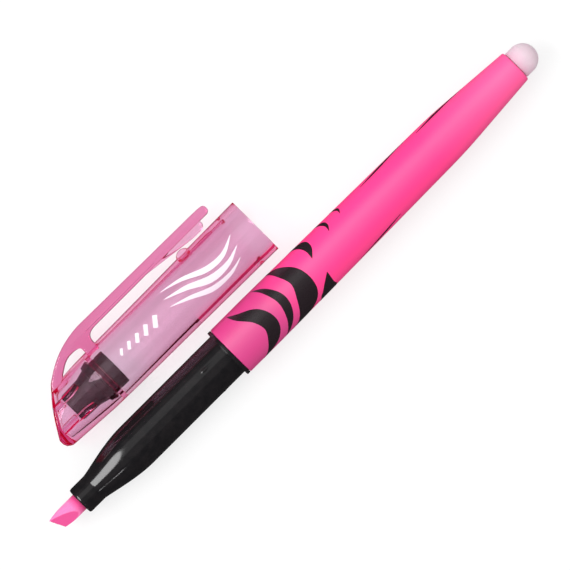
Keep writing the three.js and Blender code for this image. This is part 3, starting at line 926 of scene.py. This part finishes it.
def core_fibre():
    """The fibre core, soaked with ink."""
    material, tree, shader = new_material("inked_fibre")
    strands = noise(tree, object_place(tree, PEN_PLACE, (0.15, 8.0, 8.0)), 1.0, 5.0, 0.6)
    coloured(tree, shader, mixed(tree, strands, (0.85, 0.10, 0.33), (0.95, 0.28, 0.5)))
    roughened(tree, shader, strands, 0.75, 0.95, 0.0, 1.0)
    bumped(tree, shader, strands, 0.06, 0.7)
    return material


def sleeve_film():
    """The thin film round the core."""
    material, tree, shader = new_material("clear_film")
    place = object_place(tree, PEN_PLACE)
    crinkle = noise(tree, place, 0.8, 3.0)
    coloured(tree, shader, mixed(tree, crinkle, (0.95, 0.80, 0.87), (0.98, 0.9, 0.94)))
    roughened(tree, shader, crinkle, 0.15, 0.3)
    bumped(tree, shader, crinkle, 0.02, 0.4)
    shader.inputs["Transmission Weight"].default_value = 0.6
    return material


# ---- The pen ----


def in_millimetres(group):
    """A group's sizes in millimetres by name, and its number of sides."""
    sizes = {key: getattr(group, key) / MM for key in type(group).__annotations__ if key != "sides"}
    return sizes, group.sides


def pen_sizes():
    return in_millimetres(bpy.context.scene.highlighter_pen)


def cap_sizes():
    return in_millimetres(bpy.context.scene.highlighter_cap)


NIB_ROOM = 0.17  # section over nib
SPIGOT_RADIUS = 4.25
CHAMBER_RADIUS = 3.7  # room for the core and its film
STEM_RADIUS = 2.3


class HIGHLIGHTER_OT_section(bpy.types.Operator):
    """Make the black grip section: snout, shoulder, grip with snap pips, collar and spigot"""

    bl_idname = "highlighter.section"
    bl_label = "Grip section"

    def execute(self, context):
        size, sides = pen_sizes()
        bore = size["nib"] + NIB_ROOM
        shoulder_front = SNOUT_FRONT + size["snout_length"]
        grip_front = shoulder_front + size["shoulder"]
        chamber_front = grip_front - 2.4
        collar_front = BARREL_FRONT - size["collar"]
        collar_rear = BARREL_FRONT - 0.06
        rise = size["grip"] - size["snout"]
        shoulder = curve_points(
            [
                (shoulder_front, size["snout"]),
                (shoulder_front + 0.25 * size["shoulder"], size["snout"] + 0.29 * rise),
                (shoulder_front + 0.62 * size["shoulder"], size["grip"]),
                (grip_front, size["grip"]),
            ],
            28,
        )
        outline = [
            (SNOUT_FRONT, bore, 0.12),
            (SNOUT_FRONT, size["snout"] - 0.12, 0.3),
            (SNOUT_FRONT + 0.5, size["snout"], 0),
            (SNOUT_FRONT + 0.7, size["snout"], 0),
            (shoulder_front - 0.25, size["snout"], 0),
            *[(x, r, 0) for x, r in shoulder],
            (grip_front + 0.4, size["grip"], 0),
            (collar_front, size["grip"], 0.06),
            (collar_front, BARREL_RADIUS, 0.16),
            (collar_rear, BARREL_RADIUS, 0.16),
            (collar_rear, SPIGOT_RADIUS, 0),
            (SPIGOT_END, SPIGOT_RADIUS, 0.3),
            (SPIGOT_END, CHAMBER_RADIUS, 0.1),
            (chamber_front, CHAMBER_RADIUS, 0.2),
            (chamber_front, bore, 0.1),
        ]
        body = turned(outline, sides)
        pip_place = (collar_front - 5.4, 0, size["grip"] - 0.13)
        pips = ring(squeezed_ball((1.1, 0.45, 0.26), pip_place, 24), 4, -12)
        mesh = combined(body, [("UNION", pips)])
        piece = placed("section_moulding", mesh, PEN_PLACE, black_plastic(), weighted=True)
        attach(piece, "pen")
        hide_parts("grip_section")
        return {"FINISHED"}


class HIGHLIGHTER_OT_barrel(bpy.types.Operator):
    """Make the pink barrel with its coned tail, inner ribs and the eraser's socket"""

    bl_idname = "highlighter.barrel"
    bl_label = "Barrel"

    def execute(self, context):
        size, sides = pen_sizes()
        wall = 1.2
        bore = BARREL_RADIUS - wall
        tail_start = BARREL_END - size["tail"]
        slope = (size["end_radius"] - size["tail_radius"]) / size["tail"]
        chamber_run = 7.5
        chamber_end = tail_start + chamber_run
        socket = STEM_RADIUS + 0.05
        socket_floor = ERASER_STEM_FRONT - 0.05
        rib_front = SPIGOT_END + 1.3
        outline = [
            (chamber_end, 0, 0),
            (chamber_end, size["tail_radius"] + slope * chamber_run - wall, 1.0),
            (tail_start, size["tail_radius"] - wall, 0),
            (SPIGOT_END + 0.3, bore, 0),
            (BARREL_FRONT, bore, 0.1),
            (BARREL_FRONT, BARREL_RADIUS, 0.2),
            (BARREL_FRONT + size["straight"], BARREL_RADIUS, 60),
            (tail_start, size["tail_radius"], 120),
            (BARREL_END, size["end_radius"], 0.35),
            (BARREL_END, socket, 0.15),
            (socket_floor, socket, 0.2),
            (socket_floor, 0, 0),
        ]
        body = turned(outline, sides, closed=False, steps=6)
        stop = RESERVOIR_END + 0.3
        rib = plate(
            [
                [
                    (rib_front, bore + 0.35),
                    (rib_front, bore),
                    (rib_front + 1.5, CHAMBER_RADIUS),
                    (stop, CHAMBER_RADIUS),
                    (stop, 2.3),
                    (stop + 2.0, 2.3),
                    (stop + 4.5, 3.5),
                    (stop, 4.2),
                    (tail_start, 4.2),
                ]
            ],
            0.7,
            0.1,
        )
        mesh = combined(body, [("UNION", ring(rib, 4, 45))])
        piece = placed("barrel_moulding", mesh, PEN_PLACE, barrel_plastic(), weighted=True)
        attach(piece, "pen")
        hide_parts("barrel")
        return {"FINISHED"}


# Centre lines of the printed bands, from the barrel's rim: (along, degrees round from the top, width).
BANDS = [
    [(4.2, -66, 0.1), (5.6, -42, 1.5), (8.6, -12, 2.9), (9.4, 22, 3.1), (7.2, 58, 2.4), (3.6, 92, 0.1)],
    [(11.2, -70, 0.1), (13.2, -38, 1.2), (14.4, 0, 1.9), (13.2, 38, 1.5), (10.0, 84, 0.1)],
    [
        (15.2, -92, 0.1),
        (17.8, -50, 2.2),
        (19.6, -8, 3.6),
        (18.4, 36, 4.6),
        (14.4, 84, 2.6),
        (9.0, 120, 0.1),
    ],
    [(24.6, 26, 0.1), (23.2, 52, 2.4), (22.0, 80, 4.2), (19.0, 108, 0.1)],
    [(21.4, -96, 0.1), (24.4, -66, 1.8), (25.2, -40, 1.6), (24.4, -16, 0.1)],
    [(28.5, -92, 0.1), (30.4, -68, 0.9), (31.0, -50, 0.7), (30.6, -34, 0.1)],
    [(33.0, -90, 0.1), (34.4, -72, 0.7), (34.8, -60, 0.5), (34.6, -48, 0.1)],
    [(31.0, 78, 0.1), (37.5, 70, 0.7), (43.0, 60, 0.1)],
    [(41.0, -64, 0.1), (47.0, -72, 1.0), (54.0, -84, 0.1)],
    [(56.5, -62, 0.1), (62.5, -70, 0.9), (69.0, -82, 0.1)],
]

# Centre lines of the marks on the cap, from its mouth: (along, degrees round from the top, width).
CAP_MARKS = [
    [(4.8, -20, 0.1), (8.6, -4, 0.9), (13.0, -6, 1.2), (18.0, -26, 0.8), (22.6, -38, 0.1)],
    [(5.4, 2, 0.1), (9.2, 14, 1.0), (13.6, 12, 1.5), (18.4, -8, 1.0), (23.2, -22, 0.1)],
    [(6.6, 22, 0.1), (10.2, 31, 0.8), (14.6, 28, 1.2), (19.0, 10, 0.8), (23.2, -4, 0.1)],
    [(26.6, -14, 1.0), (28.2, 4, 1.0)],
    [(29.2, -14, 0.9), (30.6, 2, 0.9)],
    [(31.6, -14, 0.8), (32.8, 0, 0.8)],
    [(33.8, -14, 0.7), (34.9, -2, 0.7)],
    [(35.9, -14, 0.6), (36.8, -4, 0.6)],
]


def stroke_mesh(strokes, start, direction, radius, values):
    """A mesh of printed strokes wrapped round a tube."""
    data = bpy.data.curves.new("strokes", "CURVE")
    data.dimensions = "3D"
    for stroke in strokes:
        spline = data.splines.new("POLY")
        spline.points.add(len(stroke) - 1)
        for point, (reach, angle, width) in zip(spline.points, stroke):
            point.co = (start + direction * reach, -math.radians(angle) * radius, 0, 1)
            point.radius = width / 2
    return pointing_out(merged(run_tree(linked("strokes", data), "strokes", values), 1e-5))


class HIGHLIGHTER_OT_bands(bpy.types.Operator):
    """Print the tapered black bands round the barrel"""

    bl_idname = "highlighter.bands"
    bl_label = "Printed bands"

    def execute(self, context):
        size, _ = pen_sizes()
        looks = context.scene.highlighter_finishes
        ink = printed_ink("black_print", tuple(looks.ink), (0.02, 0.012, 0.016), PEN_PLACE)
        values = {
            "Front radius": BARREL_RADIUS,
            "Middle radius": size["tail_radius"],
            "Rear radius": size["end_radius"],
            "Front": BARREL_FRONT + size["straight"],
            "Middle": BARREL_END - size["tail"],
            "Rear": BARREL_END,
            "Height": size["print_height"],
            "Material": ink,
        }
        mesh = stroke_mesh(BANDS, BARREL_FRONT, 1, BARREL_RADIUS, values)
        piece = placed("barrel_bands", mesh, PEN_PLACE, ink)
        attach(piece, "pen")
        return {"FINISHED"}


class HIGHLIGHTER_OT_nib(bpy.types.Operator):
    """Make the felt nib: a rod cut to a chisel by two faces, with softened edges"""

    bl_idname = "highlighter.nib"
    bl_label = "Felt nib"

    def execute(self, context):
        size, _ = pen_sizes()
        radius = size["nib"]
        front, neck, tail = -2.5, 20.5, 1.8
        outline = [
            (front, 0, 0),
            (front, radius, 0),
            (neck, radius, 0),
            (neck + 0.6, tail, 0),
            (NIB_END, tail, 0.2),
            (NIB_END, 0, 0),
        ]
        rod = turned(outline, 96, closed=False)
        slope, slant, turn = 0.41, math.radians(20.5), math.radians(35)
        run = 60.0
        wedge = [(0, 0), (run, -slope * run), (run, slope * run)]
        points = [(x, y, z) for y in (-run, run) for x, z in wedge]
        faces = [(0, 1, 2), (5, 4, 3), (0, 3, 4, 1), (1, 4, 5, 2), (2, 5, 3, 0)]
        chisel = pointing_out(new_mesh("chisel", points, faces))
        move = (
            Matrix.Translation((radius * math.tan(slant) + 0.02, 0, 0))
            @ Matrix.Rotation(turn, 4, "X")
            @ Matrix.Rotation(slant, 4, "Z")
        )
        chisel.transform(move)
        sharp = combined(rod, [("INTERSECT", chisel)])
        softened = modified(sharp, "REMESH", mode="VOXEL", voxel_size=0.11)
        mesh = pointing_out(modified(softened, "SMOOTH", factor=0.5, iterations=4))
        piece = placed("felt_nib", mesh, PEN_PLACE, nib_felt(), angle=None)
        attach(piece, "pen")
        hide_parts("nib")
        return {"FINISHED"}


class HIGHLIGHTER_OT_eraser(bpy.types.Operator):
    """Make the domed rubber on the barrel's tail"""

    bl_idname = "highlighter.eraser"
    bl_label = "Eraser"

    def execute(self, context):
        size, sides = pen_sizes()
        radius = size["eraser"]
        shoulder = BARREL_END + 0.05
        dome = arc_points((PEN_END - radius, 0), radius, 88, 0, 28)
        outline = [
            (ERASER_STEM_FRONT, 0, 0),
            (ERASER_STEM_FRONT, STEM_RADIUS, 0.3),
            (shoulder, STEM_RADIUS, 0),
            (shoulder, radius, 0.3),
            *[(x, max(r, 0), 0) for x, r in dome],
        ]
        mesh = turned(outline, sides, closed=False)
        piece = placed("rubber_dome", mesh, PEN_PLACE, eraser_rubber(), weighted=True)
        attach(piece, "pen")
        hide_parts("eraser")
        return {"FINISHED"}


class HIGHLIGHTER_OT_reservoir(bpy.types.Operator):
    """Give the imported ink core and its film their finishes"""

    bl_idname = "highlighter.reservoir"
    bl_label = "Ink reservoir"

    def execute(self, context):
        for node, material in (("ink_reservoir", core_fibre()), ("reservoir_film", sleeve_film())):
            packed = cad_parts[node]
            packed.data.materials.clear()
            packed.data.materials.append(material)
        return {"FINISHED"}


# ---- The cap: (u, v) is the distance from the mouth and the height over the axis ----

SLANT_RUN = 6.6  # how far the slanted end leans back
SLANT_RISE = 1.15  # top of the slant over the tube's end
END_RADIUS = 5.2
END_WALL = 1.0  # wall of the slanted end
FLOOR_WALL = 1.75  # wall of the end's lower corner
CAP_MIDDLE = 6.1  # outer radius of the tube over the inner cap
SNAP_STATION = 4.3  # mouth to the snap bumps


def slant_curve(end):
    """The slanted face of the closed end, from below to above."""
    return curve_points(
        [
            (end, -0.55 * END_RADIUS),
            (end - 0.25 * SLANT_RUN, -0.05 * END_RADIUS),
            (end - 0.55 * SLANT_RUN, 0.65 * END_RADIUS),
            (end - SLANT_RUN, END_RADIUS + SLANT_RISE),
        ],
        40,
    )


def outer_end():
    """Points of the closed end's outer face, from below to above."""
    low = [
        (CAP_END - 1.5, -1.2 * END_RADIUS),
        (CAP_END - 0.9, -0.97 * END_RADIUS),
        (CAP_END - 0.25, -0.88 * END_RADIUS),
        (CAP_END, -0.74 * END_RADIUS),
    ]
    return np.vstack([low, slant_curve(CAP_END)])


def inner_end():
    """Points of the closed end's inner face: the plastic is thickest in the lower corner."""
    bottom = CAP_END - FLOOR_WALL
    slant = slant_curve(CAP_END - END_WALL)
    slant = slant[slant[:, 1] > -0.25 * END_RADIUS]
    return np.vstack([[(bottom - 0.3, -1.2 * END_RADIUS), (bottom, -0.45 * END_RADIUS)], slant])


def ended_tube(outline, end, corner, sides):
    """A closed solid turned round X from (u, radius) points, with a slanted and rounded closed end.

    The points run from the closed end to the axis at the mouth, and end is the slanted face."""
    tube_u, tube_r = np.array(outline, float).T

    def face(height):
        return np.interp(height, end[:, 1], end[:, 0])

    def radius_at(u):
        return np.interp(-u, -tube_u[:2], tube_r[:2])

    def edge_radius(rise):
        """Where the tube meets the slanted face, by halving."""
        low, high = 0.0, 1.4 * tube_r[1]
        for _ in range(40):
            middle = (low + high) / 2
            if middle < radius_at(face(middle * rise)):
                low = middle
            else:
                high = middle
        return low

    cutback = corner * 1.1
    reach = np.linspace(0, 1, 15)
    t = np.linspace(0, 1, 9)[1:, None]
    rest = np.stack([tube_u[2:-1], tube_r[2:-1]], 1)
    angles = np.linspace(0, 2 * math.pi, sides, endpoint=False)
    rings = []
    for rise in map(math.cos, angles):
        low = edge_radius(rise)
        edge = np.array([face(low * rise), low])
        inner = max(low - cutback, 0.1)
        start = np.array([face(inner * rise), inner])
        stop_u = edge[0] - cutback
        stop = np.array([stop_u, radius_at(stop_u)])
        across = np.stack([face(inner * reach * rise), inner * reach], 1)
        bend = (1 - t) ** 2 * start + 2 * (1 - t) * t * edge + t * t * stop
        run_u = np.linspace(stop_u, tube_u[1], 9)[1:]
        run = np.stack([run_u, radius_at(run_u)], 1)
        rings.append(np.vstack([across[1:], bend, run, rest]))
    u, r = np.moveaxis(np.array(rings), -1, 0)
    round_x = angles[:, None]
    grid = np.stack([-u, r * np.cos(round_x), r * np.sin(round_x)], -1)
    steps = grid.shape[1]
    points = np.vstack([grid.reshape(-1, 3), [(-float(face(0.0)), 0, 0), (-tube_u[-1], 0, 0)]])
    pole, mouth = len(points) - 2, len(points) - 1
    here = np.arange(sides) * steps
    there = np.roll(here, -1)
    faces = []
    for i in range(steps - 1):
        faces += list(zip(here + i, there + i, there + i + 1, here + i + 1))
    faces += [(pole, b, a) for a, b in zip(here, there)]
    faces += [(mouth, a + steps - 1, b + steps - 1) for a, b in zip(here, there)]
    return pointing_out(new_mesh("tube", points, faces))


def to_side(points):
    """(u, v) points as X and Y."""
    return [(-u, v) for u, v in points]


def clip_plate(size):
    """The clip, its strut and the arch as one plate with the D-shaped hole."""
    top = CLIP_TOP
    under = top - size["clip_thickness"]
    strut = INNER_MOUTH - 0.2
    foot = CAP_END - SLANT_RUN
    span = foot - strut
    foot_top = END_RADIUS + SLANT_RISE
    back = curve_points(
        [
            (strut, top),
            (strut + 0.5 * span, top - 0.3),
            (strut + 0.79 * span, foot_top + 0.41 * (top - foot_top)),
            (foot, foot_top),
        ],
        30,
    )
    slant = slant_curve(CAP_END - 0.04)[::-1]
    slant = slant[(slant[:, 1] < foot_top - 0.15) & (slant[:, 1] > 3.4)]
    fillet = curve_points(
        [(strut, 6.6), (strut - 0.05, 7.9), (strut - 0.9, under), (strut - 2.6, under)], 12
    )
    nose = curve_points(
        [
            (CLIP_TIP + 1.0, under),
            (CLIP_TIP + 0.1, under + 0.05),
            (CLIP_TIP - 0.1, top - 0.9),
            (CLIP_TIP + 0.7, top - 0.55),
        ],
        10,
    )
    brow = curve_points(
        [
            (CLIP_TIP + 0.7, top - 0.55),
            (CLIP_TIP + 1.2, top - 0.4),
            (CLIP_TIP + 2.2, top - 0.36),
            (CLIP_TIP + 3.4, top - 0.34),
        ],
        6,
    )
    outline = np.vstack([nose, brow[1:], back, slant, [(foot + 1.6, 1.0), (strut, 1.0)], fillet])
    floor, roof = 6.0, under - 0.65
    front = strut + 2.6
    wall = floor + 0.5 * (roof - floor)
    over = curve_points(
        [(front, wall), (front, roof - 0.2), (front + 1.0, roof), (front + 2.4, roof)], 10
    )
    down = curve_points(
        [
            (front + 2.4, roof),
            (front + 4.0, roof),
            (front + 5.2, floor + 0.8),
            (front + 6.4, floor),
        ],
        12,
    )
    hole = np.vstack([[(front, floor - 0.5)], over, down[1:], [(front + 6.9, floor - 0.5)]])
    mesh = plate([to_side(outline), to_side(hole)], size["clip_width"], size["edge"])
    points = coordinates(mesh)
    share = np.clip((strut + points[:, 0]) / (strut - CLIP_TIP), 0, 1)
    points[:, 2] *= 1 - share * (1 - size["tip_width"] / size["clip_width"])
    set_coordinates(mesh, points)
    return mesh


def keel_plate(size):
    """The keel under the clip's tip."""
    under = CLIP_TOP - size["clip_thickness"]
    depth = 1.5
    end = CLIP_TIP + 2.9
    slope = curve_points(
        [
            (end + 17.1, under + 0.2),
            (end + 12.1, under - 0.3),
            (end + 6.0, under - 1.25),
            (end + 3.0, under - depth),
        ],
        16,
    )
    heel = curve_points(
        [
            (end + 1.5, under - depth),
            (end + 0.2, under - depth),
            (end - 0.3, under - 0.7),
            (end + 0.3, under + 0.5),
        ],
        12,
    )
    top = [(end + 0.3, under + 1.3), (end + 17.1, under + 1.3)]
    return plate([to_side(np.vstack([slope, heel, top]))], size["keel_width"], 0.5)


def pad_disc():
    """The round pad on the tube that the keel presses against. The bore cuts it flush."""
    half = 1.1
    outline = [(-half, 0, 0), (-half, PAD_RADIUS, 0.3), (half, PAD_RADIUS, 0.3), (half, 0, 0)]
    disc = turned(outline, 64, closed=False)
    set_coordinates(disc, coordinates(disc)[:, ::-1] + (-PAD_STATION, PAD_HEIGHT, 0))
    return pointing_out(disc)


def snap_bumps(bore):
    """Two flat bumps inside the mouth that snap over the grip."""
    place = (-SNAP_STATION, bore + 0.35, 0)
    return ring(squeezed_ball((0.45, 0.75, 1.5), place, 32), 2, 0)


def fin_plate(size):
    """One fin of the closed end, which centres the inner cap and stops it."""
    clear = 3.7
    tip = INNER_REAR - 4.1
    stop = INNER_REAR + 0.3
    outline = [
        (tip, 5.65),
        (tip, clear + 0.75),
        (tip + 1.9, clear),
        (stop, clear),
        (stop, clear - 0.85),
        (CAP_END, clear - 0.85),
        (CAP_END, 5.65),
    ]
    return plate([to_side(outline)], size["fin"], 0.42 * size["fin"])


class HIGHLIGHTER_OT_cap(bpy.types.Operator):
    """Make the clear cap in one moulding: tube, slanted end, clip, keel, pad, snap ring and fins"""

    bl_idname = "highlighter.cap"
    bl_label = "Clear cap"

    def execute(self, context):
        size, sides = cap_sizes()
        outside = [
            (CAP_END, END_RADIUS),
            (45.2, CAP_MIDDLE - 0.12),
            (42.0, CAP_MIDDLE - 0.06),
            (INNER_MOUTH, CAP_MIDDLE),
            (30.0, CAP_MIDDLE + 0.08),
            (16.0, CAP_RADIUS - 0.14),
            (1.0, CAP_RADIUS - 0.01),
            (0.14, CAP_RADIUS),
            (0.04, CAP_RADIUS - 0.03),
            (0.0, CAP_RADIUS - 0.12),
            (0.0, 0.0),
        ]
        snap_front = INNER_MOUTH + 2.4
        bore = size["bore"]
        inside = [
            (CAP_END, END_RADIUS - 1.4),
            (snap_front + 1.6, 5.12),
            (snap_front + 1.0, 5.2),
            (snap_front + 1.0, 4.55),
            (snap_front + 0.95, 4.5),
            (snap_front + 0.05, 4.5),
            (snap_front, 4.55),
            (snap_front, 5.2),
            (INNER_MOUTH, 5.2),
            (28.4, bore),
            (5.6, bore),
            (4.9, bore + 0.03),
            (3.4, bore + 0.17),
            (2.6, bore + 0.2),
            (0.5, bore + 0.2),
            (-1.0, bore + 0.4),
            (-1.0, 0.0),
        ]
        tube = ended_tube(outside, outer_end(), size["corner"], sides)
        hollow = ended_tube(inside, inner_end(), 0.5, sides)
        fins = combined(ring(fin_plate(size), 2, 60), [("UNION", ring(fin_plate(size), 2, 120))])
        fins = combined(fins, [("INTERSECT", tube.copy())])
        mesh = combined(
            tube,
            [
                ("UNION", clip_plate(size)),
                ("UNION", keel_plate(size)),
                ("UNION", pad_disc()),
                ("DIFFERENCE", hollow),
                ("UNION", fins),
                ("UNION", snap_bumps(bore)),
            ],
        )
        piece = placed("cap_moulding", mesh, CAP_PLACE, clear_plastic())
        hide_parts("cap_shell", "clip_arm")
        root = CAP_PLACE.x - CLIP_ROOT * MM
        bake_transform(piece, "cap", "clip", start=(root, 0, 0), end=(root + 10 * MM, 0, 0))
        keep_tube_still(piece)
        return {"FINISHED"}


def keep_tube_still(piece):
    """Only the clip's arm bends: the tube under it stays with the cap."""
    points = (coordinates(piece.data) - np.array(CAP_PLACE)) / MM
    reach, height = -points[:, 0], points[:, 1]
    floor = np.clip(6.75 + (reach - 9.0) * 0.11, 6.75, 7.9)
    pad = np.hypot(reach - PAD_STATION, height - PAD_HEIGHT) < PAD_RADIUS + 0.02
    arm = (reach < CLIP_ROOT) & (height > floor) & ~pad
    weights = np.empty(len(points), np.float32)
    attribute = piece.data.attributes["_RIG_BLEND"]
    attribute.data.foreach_get("value", weights)
    attribute.data.foreach_set("value", np.where(arm, weights, 0).astype(np.float32))


class HIGHLIGHTER_OT_inner_cap(bpy.types.Operator):
    """Make the black inner cap that seals the snout"""

    bl_idname = "highlighter.inner_cap"
    bl_label = "Inner cap"

    def execute(self, context):
        _, sides = cap_sizes()
        flange = INNER_MOUTH + 3.9
        step = INNER_MOUTH + 3.15
        floor = INNER_REAR - 1.5
        outline = [
            (-floor, 0, 0),
            (-floor, 2.45, 0.4),
            (-(step + 0.6), 2.45, 0.1),
            (-step, 3.25, 0.1),
            (-(INNER_MOUTH + 0.4), 3.25, 0.1),
            (-INNER_MOUTH, 3.4, 0.05),
            (-INNER_MOUTH, 4.1, 0.25),
            (-(INNER_MOUTH + 2.0), 4.1, 0.05),
            (-(INNER_MOUTH + 2.05), 4.0, 0.05),
            (-(INNER_MOUTH + 2.35), 4.0, 0.05),
            (-(INNER_MOUTH + 2.4), 4.1, 0.05),
            (-flange, 4.1, 0.1),
            (-flange, 4.95, 0.15),
            (-(flange + 1.5), 4.5, 0.12),
            (-(flange + 1.7), 4.0, 0.1),
            (-(flange + 3.7), 3.45, 0.8),
            (-INNER_REAR, 3.25, 0.5),
            (-INNER_REAR, 0, 0),
        ]
        mesh = turned(outline, sides, closed=False)
        piece = placed("seal_cup", mesh, CAP_PLACE, cup_plastic(), weighted=True)
        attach(piece, "cap")
        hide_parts("inner_cap")
        return {"FINISHED"}


class HIGHLIGHTER_OT_marks(bpy.types.Operator):
    """Print the white waves and bars on the cap"""

    bl_idname = "highlighter.marks"
    bl_label = "Printed marks"

    def execute(self, context):
        size, _ = cap_sizes()
        looks = context.scene.highlighter_finishes
        ink = printed_ink("white_print", tuple(looks.white_ink), (0.74, 0.63, 0.71), CAP_PLACE)
        values = {
            "Front radius": CAP_RADIUS,
            "Middle radius": CAP_MIDDLE,
            "Rear radius": END_RADIUS,
            "Front": 0.0,
            "Middle": -INNER_MOUTH,
            "Rear": -CAP_END,
            "Gap": 0.03,
            "Height": 0.03 + size["print_height"],
            "Material": ink,
        }
        mesh = stroke_mesh(CAP_MARKS, 0, -1, CAP_RADIUS, values)
        piece = placed("cap_marks", mesh, CAP_PLACE, ink)
        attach(piece, "cap")
        return {"FINISHED"}


# ---- Stage ----


def softbox(name, direction, distance, width, height, radiance, seen=True, shape="RECTANGLE"):
    """A soft light that shines on the middle from a direction in degrees (towards X, towards Y)."""
    tilt_x, tilt_y = (math.radians(a) for a in direction)
    place = Vector((math.tan(tilt_x), math.tan(tilt_y), 1)).normalized() * distance
    data = bpy.data.lights.new(name, "AREA")
    data.shape = shape
    data.size, data.size_y = width, height
    area = width * height * (math.pi / 4 if shape == "ELLIPSE" else 1)
    data.energy = radiance * math.pi * area
    lamp = linked(name, data)
    lamp.location = place
    back = place.normalized()
    side = Vector((0, 1, 0)).cross(back).normalized()
    lamp.rotation_euler = Matrix((side, back.cross(side), back)).transposed().to_euler()
    lamp.visible_glossy = seen
    return lamp


def floor_material():
    looks = bpy.context.scene.highlighter_stage
    material, tree, shader = new_material("pale_floor")
    place = object_place(tree)
    cloud = noise(tree, place, 0.02, 2.0)
    base = tuple(looks.floor_colour)
    coloured(tree, shader, mixed(tree, cloud, base, tuple(0.985 * c for c in base)))
    set_inputs(shader, {
        "Roughness": 0.9,
        "Specular IOR Level": 0.1,
        "Emission Color": (1, 1, 1, 1),
        "Emission Strength": looks.floor_glow,
    })
    return material


class HIGHLIGHTER_OT_stage(bpy.types.Operator):
    """Set the pale floor, the soft lights and the camera"""

    bl_idname = "highlighter.stage"
    bl_label = "Stage"

    def execute(self, context):
        scene = context.scene
        stage = scene.highlighter_stage
        half = 2.0
        corners = [(-half, -half, 0), (half, -half, 0), (half, half, 0), (-half, half, 0)]
        floor = linked("floor", new_mesh("floor", corners, [(0, 1, 2, 3)]))
        floor.data.materials.append(floor_material())
        floor.visible_glossy = False

        world = bpy.data.worlds.new("studio")
        world.use_nodes = True
        back = next(n for n in world.node_tree.nodes if n.type == "BACKGROUND")
        back.inputs["Color"].default_value = (1, 1, 1, 1)
        rays = add_node(world.node_tree, "ShaderNodeLightPath")
        lit = spread(world.node_tree, rays.outputs["Is Transmission Ray"], 0.7, 1.0)
        mirrored = maths(
            world.node_tree,
            "SUBTRACT",
            rays.outputs["Is Glossy Ray"],
            rays.outputs["Is Transmission Ray"],
        )
        glow = add_node(
            world.node_tree,
            "ShaderNodeMapRange",
            values={"From Min": 0.0, "From Max": 1.0, "To Max": 0.04},
            links={"Value": mirrored, "To Min": lit},
        )
        world.node_tree.links.new(glow.outputs[0], back.inputs["Strength"])
        scene.world = world

        softbox("overhead_fill", (0, 8), 1.0, 1.6, 1.6, 0.64, seen=False)
        softbox("ceiling_band", (0, 14), 0.9, 2.2, 1.9, 0.12)
        softbox("side_band", (0, 22), 0.8, 1.2, 0.5, 0.43)
        softbox("nib_strip", (-29, 22.5), 0.9, 0.29, 0.7, 8.5, shape="ELLIPSE")
        softbox("edge_strip", (-33.3, -46.6), 0.9, 0.08, 0.03, 14.0)

        data = bpy.data.cameras.new("camera")
        data.lens = stage.lens
        data.sensor_width = 36.0
        camera = linked("camera", data)
        distance = stage.view_width * stage.lens / data.sensor_width
        camera.location = (stage.view_x, stage.view_y, 6 * MM + distance)
        camera.rotation_euler = Euler((0, 0, stage.turn))
        data.clip_start, data.clip_end = 0.01, 20.0
        scene.camera = camera
        scene.view_settings.view_transform = "Standard"
        scene.view_settings.look = "None"
        return {"FINISHED"}


class HIGHLIGHTER_PT_panel(bpy.types.Panel):
    """The highlighter's sizes, finishes and operators"""

    bl_idname = "HIGHLIGHTER_PT_panel"
    bl_label = "Chisel highlighter"
    bl_space_type = "VIEW_3D"
    bl_region_type = "UI"
    bl_category = "Highlighter"

    def draw(self, context):
        for group in SETTINGS:
            box = self.layout.box()
            box.label(text=group)
            settings = getattr(context.scene, group)
            for key in type(settings).__annotations__:
                box.prop(settings, key)
        for operator in OPERATORS:
            self.layout.operator(operator.bl_idname)


SETTINGS = {
    "highlighter_pen": PenSizes,
    "highlighter_cap": CapSizes,
    "highlighter_finishes": Finishes,
    "highlighter_stage": StageSettings,
}
OPERATORS = (
    HIGHLIGHTER_OT_section,
    HIGHLIGHTER_OT_barrel,
    HIGHLIGHTER_OT_bands,
    HIGHLIGHTER_OT_nib,
    HIGHLIGHTER_OT_eraser,
    HIGHLIGHTER_OT_reservoir,
    HIGHLIGHTER_OT_cap,
    HIGHLIGHTER_OT_inner_cap,
    HIGHLIGHTER_OT_marks,
    HIGHLIGHTER_OT_stage,
)
CLASSES = (*SETTINGS.values(), *OPERATORS, HIGHLIGHTER_PT_panel)


def register():
    for item in CLASSES:
        bpy.utils.register_class(item)
    for name, group in SETTINGS.items():
        setattr(bpy.types.Scene, name, bpy.props.PointerProperty(type=group))


def unregister():
    for name in SETTINGS:
        delattr(bpy.types.Scene, name)
    for item in reversed(CLASSES):
        bpy.utils.unregister_class(item)


def main():
    register()
    for operator in OPERATORS:
        getattr(bpy.ops.highlighter, operator.bl_idname.split(".")[1])()


if __name__ == "__main__":
    main()
